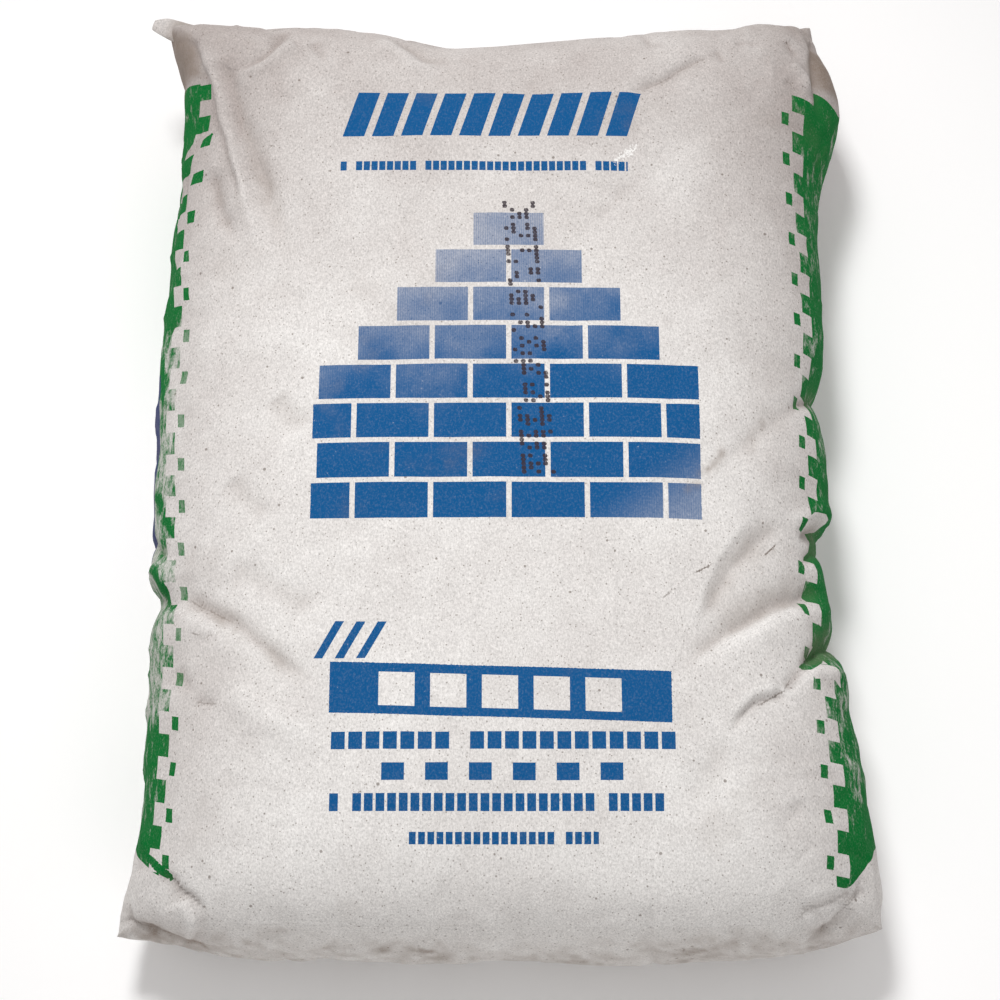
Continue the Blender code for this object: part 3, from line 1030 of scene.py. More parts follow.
@dataclass(frozen=True)
class PaperStock:
    """Recycled sack paper: cloudy, fibrous and flecked, with soil rubbed in and shade and light painted on.

    Colours are linear. Relief is the height of the grain in metres. Shade is the paper's plain
    lightness and how far the grain and the fibres change it. Flecks are given by the pitch of their
    cells, the radius of the largest, the share of the cells that hold one, and their strength.
    """

    colour: Colour = (0.720, 0.703, 0.684)
    # Dull colour of the paper's clouds, and the colour of painted shade at the ends, sides and hollows.
    dull_and_shade_colour: Colour = (0.395, 0.352, 0.335)
    # Colour of dirt, and of painted shade in the folds, on the dark facets and inside the sleeve.
    soil_and_shade_colour: Colour = (0.235, 0.185, 0.150)
    fleck_colour: Colour = (0.13, 0.10, 0.08)
    # Colour of cracks and of the painted crease shade lines.
    crack_and_shade_colour: Colour = (0.12, 0.090, 0.070)
    dust_colour: Colour = (0.80, 0.79, 0.77)
    roughness: float = 0.88
    specular: float = 0.08
    relief: float = 0.00006
    grain_noise: Place = (0.0014, 2.0, 0.75)
    fibre_noise: tuple[float, float, float, Place] = (0.0009, 1.0, 0.6, (1.0, 0.45, 1.0))
    fibre_share: float = 0.6
    shade: Place = (0.35, 0.74, 0.58)
    small_flecks: Place = (0.0034, 0.00066, 0.85)
    small_strength: float = 0.62
    large_flecks: Place = (0.0240, 0.00120, 0.75)
    large_strength: float = 0.65
    crack_and_shade_break: float = 2.2
    crack_and_shade_width: Span = (0.75, 0.25)
    soil_shade: Span = (0.35, 1.3)

    def grain(self, graph: Graph) -> tuple[Term, Term]:
        """Adds the paper's grain and its longer fibres, both around a half."""
        place = graph.node("ShaderNodeTexCoord").outputs["Object"]
        return graph.noise(place, *self.grain_noise), graph.noise(place, *self.fibre_noise)

    def speckle(self, grain: Term, fibres: Term) -> Term:
        """Sums the grain and the fibres around nought."""
        return (grain - 0.5) + (fibres - 0.5) * self.fibre_share

    def base(self, graph: Graph, grain: Term, fibres: Term) -> Tint:
        """Paints the bare paper with its clouds, the painted shade and light of its tone, grain and flecks.

        Args:
            graph: Node tree to paint in.
            grain: Grain of the paper.
            fibres: Fibres of the paper.

        Returns:
            The paper's colour.
        """
        # The tone mixes in the dull colour: random clouds of the paper, plus painted shade and light.
        colour = graph.blend(self.colour, self.dull_and_shade_colour, graph.trait("tone"))
        level, by_grain, by_fibres = self.shade
        colour = colour * (level + by_grain * grain + by_fibres * fibres)
        small = graph.flecks(*self.small_flecks) * self.small_strength
        large = graph.flecks(*self.large_flecks) * self.large_strength
        return colour.towards(self.fleck_colour, small.most(large))

    def dress(self, piece: bpy.types.Object) -> None:
        """Gives a piece of bare paper its finish.

        Args:
            piece: The piece.
        """
        graph = Graph(piece.name)
        grain, fibres = self.grain(graph)
        self.close(graph, self.base(graph, grain, fibres), grain, fibres)
        piece.data.materials.append(graph.material)

    def close(self, graph: Graph, colour: Tint, grain: Term, fibres: Term) -> None:
        """Adds cracks, painted crease shade lines, and soil with painted shade, and feeds the shader with
        the colour and the relief.

        Args:
            graph: Node tree to paint in.
            colour: Colour under the soil.
            grain: Grain of the paper.
            fibres: Fibres of the paper.
        """
        # Dark lines of the cracks and of the painted crease shade.
        ragged = abs(graph.trait("crack")) + self.speckle(grain, fibres) * self.crack_and_shade_break
        crack = ragged.rise(*self.crack_and_shade_width)
        colour = colour.towards(self.crack_and_shade_colour, crack * graph.trait("crack_strength"))
        # Dirt, with painted shade in the folds, on the dark facets and inside the sleeve.
        level, by_grain = self.soil_shade
        colour = colour.towards(self.soil_and_shade_colour, graph.trait("soil") * (level + by_grain * grain))
        height = (grain + fibres * self.fibre_share) * self.relief
        bump = graph.node("ShaderNodeBump", {}, {"Strength": 1.0, "Distance": 1.0, "Height": height})
        graph.feed(graph.shader, "Base Color", colour)
        graph.feed(graph.shader, "Normal", bump.outputs["Normal"])
        graph.shader.inputs["Roughness"].default_value = self.roughness
        graph.shader.inputs["Specular IOR Level"].default_value = self.specular


@dataclass(frozen=True)
class EdgeBand:
    """Checked band along one side of the face.

    The inner line gives the place across for places along, the rows give the count of rows for
    places along, and the head and foot lines give where the band ends for places across. Places
    across are taken outwards from the middle of the face. The rows lean by a share of the place
    outwards, and the band widens near one place along by an amount that fades over a reach.
    """

    side: Side
    inner: Line
    rows: Line
    head: Line
    foot: Line
    lean: float = 0.0
    widening: Place = (0.0, 0.0, 1.0)

    def layout(self, u: np.ndarray, v: np.ndarray) -> np.ndarray:
        """Places paper coordinates on the band.

        Args:
            u: Paper coordinates across.
            v: Paper coordinates along.

        Returns:
            Distance out of the inner line, count of rows and distance inside the band's ends.
        """
        out = np.abs(u) - np.interp(v, *zip(*self.inner))
        place, amount, reach = self.widening
        out = out / (1 + amount * np.exp(-(((v - place) / reach) ** 2)))
        row = np.interp(v - self.lean * out, *zip(*self.rows))
        head = np.interp(np.abs(u), *zip(*self.head)) - v
        foot = v - np.interp(np.abs(u), *zip(*self.foot))
        return np.stack([out, row, np.minimum(head, foot)], axis=-1)


@dataclass(frozen=True)
class BlockRow:
    """Row of plain printed blocks, some of them left out by chance.

    Fill is the share of the pitch that a block takes, kept the share of blocks that are printed,
    slant the lean of the blocks to the right, and tilt the fall of the row to the right.
    """

    left: float
    right: float
    low: float
    high: float
    pitch: float
    fill: float
    seed: float = 1.0
    kept: float = 2.0
    slant: float = 0.0
    tilt: float = 0.0

    def layout(self, u: np.ndarray, v: np.ndarray) -> tuple[np.ndarray, np.ndarray]:
        """Places paper coordinates in the row.

        Args:
            u: Paper coordinates across.
            v: Paper coordinates along.

        Returns:
            Count of blocks, share of the height and number of blocks; fill, seed and kept share.
        """
        count = (u - (v - self.low) * self.slant - self.left) / self.pitch
        height = (v + self.tilt * u - self.low) / (self.high - self.low)
        blocks = np.full(u.shape, (self.right - self.left) / self.pitch)
        style = np.broadcast_to([self.fill, self.seed, self.kept], (*u.shape, 3))
        return np.stack([count, height, blocks], axis=-1), style


@dataclass(frozen=True)
class BrickMotif:
    """Stepped wall of bricks in running bond, shaded by fine upright lines.

    The shade grows to full over a span below a slanting line, which a haze makes uneven, and fades
    again at the lower right.
    """

    middle: float = 0.004
    low: float = -0.067
    course: float = 0.0274
    brick: float = 0.0500
    joint: float = 0.0034
    courses: int = 8
    base_halves: int = 5
    line_pitch: float = 0.00150
    line_edge: float = 0.55
    line_share: float = 0.45
    haze: Haze = Haze(61, 0.040, 4, 0.7)
    haze_share: float = 0.030
    slant_place: Span = (-0.10, 0.155)
    slant: float = 0.30
    pale: float = 0.44
    full: Rise = Rise(0.56, 0.0, 0.17)
    fading: Rise = Rise(0.28, 0.10, 0.17)
    fading_slant: float = 0.8

    def rows(self) -> list[BlockRow]:
        """Lays the courses: each is staggered by half a brick, and the upper ones step in.

        Returns:
            One row of blocks for each course, from the lowest up.
        """
        laid = []
        for course in range(self.courses):
            halves = min(self.courses - course, self.base_halves)
            start = -halves / 2 - (((course - halves) / 2) % 1.0)
            left = self.middle + start * self.brick + self.joint / 2
            right = left + math.ceil(halves / 2 - start) * self.brick
            low = self.low + course * self.course + self.joint
            high = self.low + (course + 1) * self.course
            laid.append(BlockRow(left, right, low, high, self.brick, 1 - self.joint / self.brick))
        return laid

    def tone(self, u: np.ndarray, v: np.ndarray, points: np.ndarray) -> np.ndarray:
        """Shades the bricks from pale above on the left to full below.

        Args:
            u: Paper coordinates across.
            v: Paper coordinates along.
            points: Places in space, for the cloudy part of the shade.

        Returns:
            Share of ink from 0 to 1, which is 1 beyond the motif.
        """
        left, top = self.slant_place
        below = top - v + (u - left) * self.slant + self.haze.at(points) * self.haze_share
        tone = self.pale + self.full.at(below) - self.fading.at(u * self.fading_slant - v)
        reach = 0.5 * self.joint
        beyond = (v < self.low - reach) | (v > self.low + self.courses * self.course + reach)
        return np.where(beyond, 1.0, np.clip(tone, 0.0, 1.0))


@dataclass(frozen=True)
class Printing:
    """Everything printed on the face, as plain shapes in paper coordinates.

    On the bands, a square takes the first share of its row and a tooth a span of it, and beyond the
    solid distance all is inked. Worn shares are the most ink that squares, teeth and folds lose.
    """

    bands: tuple[EdgeBand, ...] = (
        EdgeBand(
            Side.RIGHT,
            inner=(
                (-0.280, 0.2068), (-0.140, 0.2000), (0.010, 0.2032), (0.130, 0.2021), (0.245, 0.1960),
            ),
            rows=(
                (-0.4185, 23), (-0.2760, 18), (-0.1617, 14), (-0.1409, 13), (-0.1092, 12),
                (0.0055, 8), (0.2423, 0), (0.3848, -5),
            ),
            head=((0.195, 0.2585), (0.2285, 0.2557), (0.2300, 0.2692), (0.2513, 0.2648), (0.300, 0.255)),
            foot=((0.2265, -0.2945), (0.2597, -0.2650), (0.300, -0.2500)),
        ),
        EdgeBand(
            Side.LEFT,
            inner=(
                (-0.275, 0.2120), (-0.200, 0.2085), (-0.140, 0.2074), (-0.050, 0.2100),
                (0.020, 0.2143), (0.050, 0.2140), (0.1135, 0.2172), (0.1454, 0.2212),
                (0.175, 0.2167), (0.2248, 0.2016), (0.2262, 0.1925), (0.2600, 0.1925),
            ),
            rows=(
                (-0.4215, 22), (-0.2746, 17), (-0.1295, 12), (-0.0116, 8), (0.1142, 4),
                (0.1736, 2), (0.2010, 1), (0.2248, 0), (0.2544, -1.34), (0.360, -6),
            ),
            head=((0.190, 0.2596), (0.300, 0.2948)),
            foot=((0.2049, -0.2960), (0.2101, -0.2928), (0.2649, -0.2596), (0.320, -0.2260)),
            lean=0.27,
            widening=(0.200, 1.15, 0.030),
        ),
    )
    square: float = 0.0062
    square_share: float = 0.30
    first_row: float = -0.5
    tooth: float = 0.0092
    tooth_span: Span = (0.41, 0.91)
    solid: float = 0.0203
    band_width: float = 0.092
    row_wander: float = 20.0
    worn_shares: Place = (0.30, 0.82, 0.25)
    worn_span: Span = (0.25, 0.95)
    worn_speckle: float = 0.5
    header: BlockRow = BlockRow(-0.1095, 0.0885, 0.2110, 0.2450, 0.0198, 0.74, 3.0, slant=0.30)
    tag_row: BlockRow = BlockRow(-0.108, 0.086, 0.1845, 0.1915, 0.0052, 0.80, 5.0, 0.86)
    strokes: BlockRow = BlockRow(-0.1200, -0.0800, -0.1570, -0.1330, 0.0133, 0.42, slant=0.55)
    bar: tuple[float, float, float, float] = (-0.1057, 0.1063, -0.1950, -0.1622)
    bar_row: BlockRow = BlockRow(-0.0800, 0.0800, -0.1895, -0.1680, 0.0320, 0.70, tilt=0.030)
    rows: tuple[BlockRow, ...] = (
        BlockRow(-0.105, 0.109, -0.2150, -0.2040, 0.0107, 0.80, 8.0, 0.86),
        BlockRow(-0.079, 0.082, -0.2345, -0.2235, 0.0268, 0.52),
        BlockRow(-0.105, 0.108, -0.2535, -0.2425, 0.0071, 0.76, 14.0, 0.86),
        BlockRow(-0.056, 0.060, -0.2735, -0.2660, 0.0056, 0.74, 21.0, 0.86),
    )
    motif: BrickMotif = BrickMotif()
    code: tuple[float, float, float, float] = (0.0005, 0.0240, -0.0340, 0.1610)
    code_pitch: Span = (0.0047, 0.00275)
    code_group: int = 6
    code_seed: float = 4.0
    code_kept: float = 0.50
    code_ink: Span = (0.96, 0.25)
    code_dot: float = 0.00158
    code_drift: float = 0.065
    edge_wander: float = 0.0009
    streaks: tuple[float, float, float, Place] = (0.0060, 3.0, 0.65, (1.0, 0.42, 1.0))
    streak_contrast: float = 2.2
    missed_span: Span = (-0.10, 0.30)
    missed_share: float = 0.06
    side_ink: float = 0.9
    dust_speckle: float = 1.6
    dust_span: Span = (0.45, 0.75)
    side_print: Patch = Patch("side_print", (
        (-252, 62), (-245.2, 11), (-259, -70), (-300, -70), (-300, 62)))
    bare_folds: tuple[Patch, ...] = (
        Patch("waist_tuck_upper", (
            (210, -49.2), (216.3, -44.4), (232.8, -40.8), (243.1, -42.3), (242.2, -50), (214.8, -59.4),
            (208, -55.7))),
        Patch("waist_tuck_lower", (
            (206.2, -63.2), (217.3, -59.8), (225.2, -61.3), (219.4, -70), (208.6, -77.3), (200.3, -76.8))),
        Patch("gusset_edge", (
            (201, -150), (226, -150), (233, -164), (220, -160), (201, -164))),
    )
    green_folds: tuple[Patch, ...] = (
        Patch("gusset_leaf", (
            (226.7, -112.4), (239, -116.5), (233, -134.5), (218, -148), (201.7, -157.1), (192.3, -156.5),
            (206.5, -146.5), (213.7, -134.5), (220.4, -123))),
        Patch("foot_strip", (
            (-261.7, -255.6), (-225.2, -274.3), (-211.7, -285.1), (-210.4, -293.6), (-219.2, -286.7),
            (-229.4, -277.8), (-260.5, -262.1))),
    )

    def layout(self, u: np.ndarray, v: np.ndarray) -> dict[str, np.ndarray]:
        """Works out where the face corners lie on the bands and in the rows of blocks.

        All corners of a face take the row that is nearest to the face, so that a row's edges stay
        crisp.

        Args:
            u: Paper coordinates across, one line of four corners for each face.
            v: Paper coordinates along.

        Returns:
            Three values for each corner by name.
        """
        bands = {band.side: band.layout(u, v) for band in self.bands}
        rows = [self.header, self.tag_row, self.strokes, self.bar_row, *self.rows, *self.motif.rows()]
        middle = v.mean(axis=1)
        away = [np.abs(middle - (row.low + row.high) / 2) - (row.high - row.low) / 2 for row in rows]
        chosen = np.argmin(np.stack(away), axis=0)
        place = np.zeros((*u.shape, 3))
        style = np.zeros((*u.shape, 3))
        for number, row in enumerate(rows):
            mine = chosen == number
            place[mine], style[mine] = row.layout(u[mine], v[mine])
        return {
            "band": np.where(u[..., None] > 0, bands[Side.RIGHT], bands[Side.LEFT]).reshape(-1, 3),
            "block_place": place.reshape(-1, 3), "block_style": style.reshape(-1, 3),
        }

    def traits(self, u: np.ndarray, v: np.ndarray, points: np.ndarray) -> dict[str, np.ndarray]:
        """Works out the motif's shade and the folds that hide or show ink, at each point.

        Args:
            u: Paper coordinates across.
            v: Paper coordinates along.
            points: Places in space.

        Returns:
            One value for each point by name; those of folds are millimetres inside them.
        """
        bare = np.max([fold.inside(u, v) for fold in self.bare_folds], axis=0)
        green = np.max([fold.inside(u, v) for fold in self.green_folds], axis=0)
        return {
            "shade": self.motif.tone(u, v, points), "bare_fold": bare * MM,
            "green_fold": green * MM, "side_print": self.side_print.inside(u, v) * MM,
        }

    def green(self, graph: Graph, wander: Term, speckle: Term) -> Term:
        """Draws loose squares, teeth and the solid edge of both bands, with their rubbed streaks.

        Args:
            graph: Node tree to draw in.
            wander: Small shift that loosens the edges.
            speckle: Fine grain around nought.

        Returns:
            Share of green ink from 0 to 1.
        """
        out, row, shown = graph.corner_trait("band")
        out = out + wander
        phase = (row + wander * self.row_wander).part()
        square = out.within(0.0, self.square) * (phase < self.square_share) * (row > self.first_row)
        tooth = (out > self.tooth) * phase.within(*self.tooth_span)
        streaks = (graph.noise(graph.paper(), *self.streaks) - 0.5) * self.streak_contrast
        worn = (graph.trait("rub") + streaks + speckle * self.worn_speckle).rise(*self.worn_span)
        by_square, by_tooth, by_fold = self.worn_shares
        toothed = tooth.most(out > self.solid) * (1 - by_tooth * worn)
        drawn = (square * (1 - by_square * worn)).most(toothed)
        drawn = drawn * (out < self.band_width) * (shown + wander > 0.0)
        folded = (graph.trait("green_fold") > 0.0) * (1 - by_fold * worn)
        return (drawn * (graph.trait("bare_fold") < 0.0)).most(folded)

    def blue(self, graph: Graph, u: Term, v: Term) -> Term:
        """Draws the rows of blocks and the bar with its openings.

        Args:
            graph: Node tree to draw in.
            u: Paper coordinate across.
            v: Paper coordinate along.

        Returns:
            Share of blue ink from 0 to 1.
        """
        count, height, blocks = graph.corner_trait("block_place")
        fill, seed, kept = graph.corner_trait("block_style")
        chance = graph.chance(W=(count.whole() + seed + 0.5).whole())
        block = (abs(count.part() - 0.5) < fill * 0.5) * (chance < kept)
        block = block * (abs(height - 0.5) < 0.5) * (abs(count - blocks * 0.5) < blocks * 0.5)
        half_width = self.motif.brick * self.motif.base_halves / 2
        block = block * (abs(u - self.motif.middle) < half_width)
        left, right, low, high = self.bar
        bar = u.within(left, right) * (v + u * self.bar_row.tilt).within(low, high)
        tone = graph.trait("shade")
        line = abs((u / self.motif.line_pitch).part() - 0.5) * 2
        tone = tone + (1 - tone) * (self.motif.line_edge - line) * self.motif.line_share
        return abs(bar - block) * tone

    def dots(self, graph: Graph, u: Term, v: Term) -> Term:
        """Draws the sprayed dots of the filling line: random dots of a grid in a few groups.

        Args:
            graph: Node tree to draw in.
            u: Paper coordinate across.
            v: Paper coordinate along.

        Returns:
            1 in a dot, else 0.
        """
        left, right, low, high = self.code
        wide, long = self.code_pitch
        across = (u + (v - high) * self.code_drift - left) / wide
        along = (v - low) / long
        inputs = {"X": across.whole(), "Y": along.whole(), "Z": self.code_seed}
        cell = graph.node("ShaderNodeCombineXYZ", {}, inputs)
        chance = graph.chance(Vector=cell.outputs["Vector"])
        dx = (across.part() - 0.5) * (wide / self.code_dot)
        dy = (along.part() - 0.5) * (long / self.code_dot)
        dot = (dx * dx + dy * dy) < 1.0
        group = (along / self.code_group).part() < (self.code_group - 1) / self.code_group
        inside = across.within(0.0, (right - left) / wide) * v.within(low, high)
        return dot * group * (chance < self.code_kept) * inside

    def dress(self, piece: bpy.types.Object, stock: PaperStock) -> None:
        """Gives the sack its paper, print, rubbing, cracks, painted crease shade lines, soil and painted
        shade and light.

        Args:
            piece: The sack's skin.
            stock: Paper that it is made of.
        """
        graph = Graph("printed_paper")
        grain, fibres = stock.grain(graph)
        speckle = stock.speckle(grain, fibres)
        wander = (grain - 0.5) * self.edge_wander
        u, v, _ = graph.parts(graph.paper())
        u, v = u + wander, v + wander
        colour = stock.base(graph, grain, fibres)

        missed = speckle.rise(*self.missed_span)
        inked = 1 - self.missed_share * missed
        code_full, code_missed = self.code_ink
        for ink, share in (
            (Ink.GREEN, self.green(graph, wander, speckle) * inked),
            (Ink.BLUE, self.blue(graph, u, v) * inked),
            (Ink.SIDE_BLUE, (graph.trait("side_print") > 0.0) * self.side_ink),
            (Ink.CODE, self.dots(graph, u, v) * (code_full - code_missed * missed)),
        ):
            colour = colour.towards(ink.value, share)
        dust = (graph.trait("dust") + speckle * self.dust_speckle).rise(*self.dust_span)
        colour = colour.towards(stock.dust_colour, dust)
        stock.close(graph, colour, grain, fibres)
        piece.data.materials.append(graph.material)


@dataclass(frozen=True)
class Shape:
    """Mesh as whole arrays, with values at its points and face corners; crisp keeps its rim sharp."""

    points: np.ndarray
    corners: np.ndarray
    starts: np.ndarray
    paper: np.ndarray
    traits: dict[str, np.ndarray] = field(default_factory=dict)
    corner_traits: dict[str, np.ndarray] = field(default_factory=dict)
    crisp: bool = False
    crisp_angle: float = 50.0

    def piece(self, name: str) -> bpy.types.Object:
        """Makes the shape an object at the origin.

        Args:
            name: Name of the piece.

        Returns:
            The new object, linked to the scene.
        """
        mesh = bpy.data.meshes.new(name)
        mesh.vertices.add(len(self.points))
        mesh.vertices.foreach_set("co", self.points.astype(np.float32).ravel())
        mesh.loops.add(len(self.corners))
        mesh.loops.foreach_set("vertex_index", self.corners.astype(np.int32))
        mesh.polygons.add(len(self.starts))
        mesh.polygons.foreach_set("loop_start", self.starts.astype(np.int32))
        layer = mesh.uv_layers.new(name="paper")
        layer.uv.foreach_set("vector", self.paper.astype(np.float32).ravel())
        for traits, kind, domain, entry in (
            (self.traits, "FLOAT", "POINT", "value"),
            (self.corner_traits, "FLOAT_VECTOR", "CORNER", "vector"),
        ):
            for trait, values in traits.items():
                attribute = mesh.attributes.new(trait, kind, domain)
                attribute.data.foreach_set(entry, values.astype(np.float32).ravel())
        mesh.update(calc_edges=True)
        mesh.validate()
        mesh.shade_smooth()
        if self.crisp:
            mesh.set_sharp_from_angle(angle=math.radians(self.crisp_angle))
        made = bpy.data.objects.new(name, mesh)
        bpy.context.scene.collection.objects.link(made)
        return made


def hollows(quads: np.ndarray, lift: np.ndarray, rounds: int) -> np.ndarray:
    """Works out how far each point lies below the mean of its neighbourhood.

    Args:
        quads: Four point numbers for each face.
        lift: Lift of each point.
        rounds: Number of times that the lift is levelled over the faces round a point.

    Returns:
        Levelled lift less the lift itself, above nought in hollows.
    """
    faces = np.bincount(quads.ravel(), minlength=len(lift))
    level = lift
    for _ in range(rounds):
        mean = np.repeat(level[quads].mean(axis=1), 4)
        level = np.bincount(quads.ravel(), mean, len(lift)) / faces
    return level - lift


def lengths_passed(points: np.ndarray, axis: int) -> np.ndarray:
    """Lengths passed along the grid lines of one axis, from nought at their first points."""
    lengths = np.cumsum(np.linalg.norm(np.diff(points, axis=axis), axis=-1), axis=axis)
    return np.concatenate([np.zeros_like(lengths.take([0], axis)), lengths], axis=axis)


def cells(number: np.ndarray) -> np.ndarray:
    """Four point numbers for each cell of a grid of point numbers, from its first corner."""
    corners = [number[:-1, :-1], number[1:, :-1], number[1:, 1:], number[:-1, 1:]]
    return np.stack(corners, axis=-1).reshape(-1, 4)


def quad_normals(points: np.ndarray, quads: np.ndarray) -> np.ndarray:
    """Works out unit normals at the points as the sum of the cross products of the quads' diagonals.

    Args:
        points: Places of the mesh.
        quads: Four point numbers for each face, in turn seen from outside.

    Returns:
        One unit vector for each point.
    """
    first = points[quads[:, 2]] - points[quads[:, 0]]
    second = points[quads[:, 3]] - points[quads[:, 1]]
    facing = np.cross(first, second)
    total = np.zeros_like(points)
    for corner in range(4):
        np.add.at(total, quads[:, corner], facing)
    length = np.linalg.norm(total, axis=1, keepdims=True)
    return total / np.maximum(length, TINY)


@dataclass(frozen=True)
class SackSkin:
    """Printed outer paper of the sack with its fill, one closed skin.

    Easing crowds the grid lines towards the ends. The edge spans are the shares of the half width
    and half length over which the face turns to edge. The underside's paper coordinates are shifted
    off the print.
    """

    form: SackForm = SackForm()
    crumple: Crumple = Crumple()
    wear: Wear = Wear()
    printing: Printing = Printing()
    across: int = 190
    along: int = 270
    flank: int = 30
    under: int = 12
    easing: float = 0.35
    edge_across: Span = (0.70, 0.98)
    edge_along: Span = (0.86, 0.98)
    levelling: int = 6
    underside_shift: float = 2.0

    def lines(self, count: int) -> np.ndarray:
        """Places of grid lines from -1 to 1, crowded towards the ends by a part of a sine."""
        even = np.linspace(-1.0, 1.0, count + 1)
        return (1 - self.easing) * even + self.easing * np.sin(even * math.pi / 2)

    def levels(self) -> np.ndarray:
        """Spaces the rings evenly down to the seam, and again below it.

        Returns:
            Heights on the block, from its upper edge at 1 down to its lower edge at -1.
        """
        upper = np.linspace(1.0, 0.0, self.flank + 1)
        lower = np.linspace(0.0, -1.0, self.under + 1)
        return np.concatenate([upper, lower[1:]])

    def rim(self) -> tuple[np.ndarray, np.ndarray, np.ndarray]:
        """Walks round the edge of the upper face, foot, right, head, left.

        Returns:
            Grid numbers across and along of each rim point, and the way out of each rim stretch.
        """
        nx, ny = self.across, self.along
        i = np.concatenate([np.arange(nx), np.full(ny, nx), np.arange(nx, 0, -1), np.zeros(ny, int)])
        j = np.concatenate([np.zeros(nx, int), np.arange(ny), np.full(nx, ny), np.arange(ny, 0, -1)])
        ways = np.repeat([[0, -1], [1, 0], [0, 1], [-1, 0]], [nx, ny, nx, ny], axis=0)
        return i, j, ways

    def lift(self, base: np.ndarray, normals: np.ndarray, at: np.ndarray) -> np.ndarray:
        """Works out how far the folds, waves and crinkles move each place out of the plain form.

        Args:
            base: Points of the plain skin, over which crinkles are scattered.
            normals: Normals of the plain skin.
            at: Places of the plain form that are lifted.

        Returns:
            Lift along the normal in metres.
        """
        crumple = self.crumple
        local = at - np.array(self.form.middle)
        x, y = (
            local[:, axis] + crumple.wander * Cloud(seed).values(at, crumple.wander_pitch)
            for axis, seed in enumerate(crumple.wander_seeds)
        )
        edge = self.edge_share(at)
        total = np.zeros(len(at))
        for crease in crumple.creases:
            total -= crumple.deepening * crease.press(x, y)
        for number, (height, pitch) in enumerate(crumple.soft_waves):
            total += height * Cloud(crumple.soft_seed + number).values(at, pitch)
        for number, (height, pitch) in enumerate(crumple.edge_waves):
            total += height * edge * Cloud(crumple.edge_seed + number).values(at, pitch)
        base_edge = self.edge_share(base)
        for crinkles in crumple.crinkles:
            total += crinkles.lift(base, normals, base_edge, at, edge)
        return total * np.clip(at[:, 2] / crumple.floor_fade, 0.0, 1.0)

    def edge_share(self, at: np.ndarray) -> np.ndarray:
        """Works out the share of edge.

        Args:
            at: Places of the skin.

        Returns:
            Share at each place, from 0 on the printed face to 1 on the sides and ends.
        """
        local = at - np.array(self.form.middle)
        across = smooth_step(*self.edge_across, np.abs(local[:, 0]) / self.form.left)
        along = smooth_step(*self.edge_along, np.abs(local[:, 1]) / self.form.half_length)
        return np.maximum(across, along)

    def unrolled(
        self, wall: np.ndarray, rim: np.ndarray, columns: np.ndarray, ways: np.ndarray
    ) -> np.ndarray:
        """Unrolls the walls onto the plane of the paper.

        Down a side wall the place along changes as the wall's own place along does, and the place
        across grows by the rest of each step's length; on an end wall the two change parts.

        Args:
            wall: Points of the walls, by ring and rim point.
            rim: Paper coordinates of the rim points.
            columns: Rim point of each stretch.
            ways: Way out of each stretch.

        Returns:
            Paper coordinates by ring and stretch.
        """
        wall = wall[:, columns]
        drift = wall[..., :2] - wall[:1, :, :2]
        steps = np.diff(wall, axis=0)
        rest = np.sqrt(np.maximum((steps**2).sum(-1, keepdims=True) - steps[..., [1, 0]] ** 2, 0.0))
        fall = np.concatenate([np.zeros((1, len(columns), 2)), np.cumsum(rest, axis=0)])
        return rim[columns][None] + np.where(ways[None] != 0, fall * ways[None], drift)

    def plain(self) -> tuple[np.ndarray, np.ndarray, np.ndarray, np.ndarray]:
        """Lays the grid over the plain form.

        Paper coordinates on the upper face are lengths along the grid lines from its middle.

        Returns:
            Points, four point numbers for each face, paper coordinates of each face's corners and
            paper coordinates of each point.
        """
        nx, ny = self.across, self.along
        a, b = np.meshgrid(self.lines(nx), self.lines(ny), indexing="ij")
        top = self.form.points(np.stack([a, b, np.ones_like(a)], axis=-1))
        u, v = lengths_passed(top, 0), lengths_passed(top, 1)
        u -= u[nx // 2]
        v -= v[:, ny // 2 : ny // 2 + 1]

        number = np.arange((nx + 1) * (ny + 1)).reshape(nx + 1, ny + 1)
        face = cells(number)
        flat = np.stack([u, v], axis=-1).reshape(-1, 2)

        i, j, ways = self.rim()
        rim_count = len(i)
        block = np.stack([a[i, j], b[i, j], np.ones(rim_count)], axis=-1)
        levels = self.levels()
        rings = np.repeat(block[None], len(levels), axis=0)
        rings[..., 2] = levels[:, None]
        wall = self.form.points(rings)
        ring_number = top[..., 0].size + np.arange((len(levels) - 1) * rim_count)
        ring_number = np.concatenate([number[i, j][None], ring_number.reshape(-1, rim_count)])
        first = np.arange(rim_count)
        after = np.roll(first, -1)
        rim_paper = np.stack([u[i, j], v[i, j]], axis=-1)
        here = self.unrolled(wall, rim_paper, first, ways)
        there = self.unrolled(wall, rim_paper, after, ways)
        band = np.stack(
            [ring_number[:-1], ring_number[1:], ring_number[1:][:, after], ring_number[:-1][:, after]],
            axis=-1,
        ).reshape(-1, 4)
        band_paper = np.stack([here[:-1], here[1:], there[1:], there[:-1]], axis=2).reshape(-1, 2)

        points = np.concatenate([top.reshape(-1, 3), wall[1:].reshape(-1, 3)])
        quads = np.concatenate([face, band])
        corner_paper = np.concatenate([flat[face.ravel()], band_paper])
        point_paper = np.concatenate([flat, here[1:].reshape(-1, 2)])
        return points, quads, corner_paper, point_paper

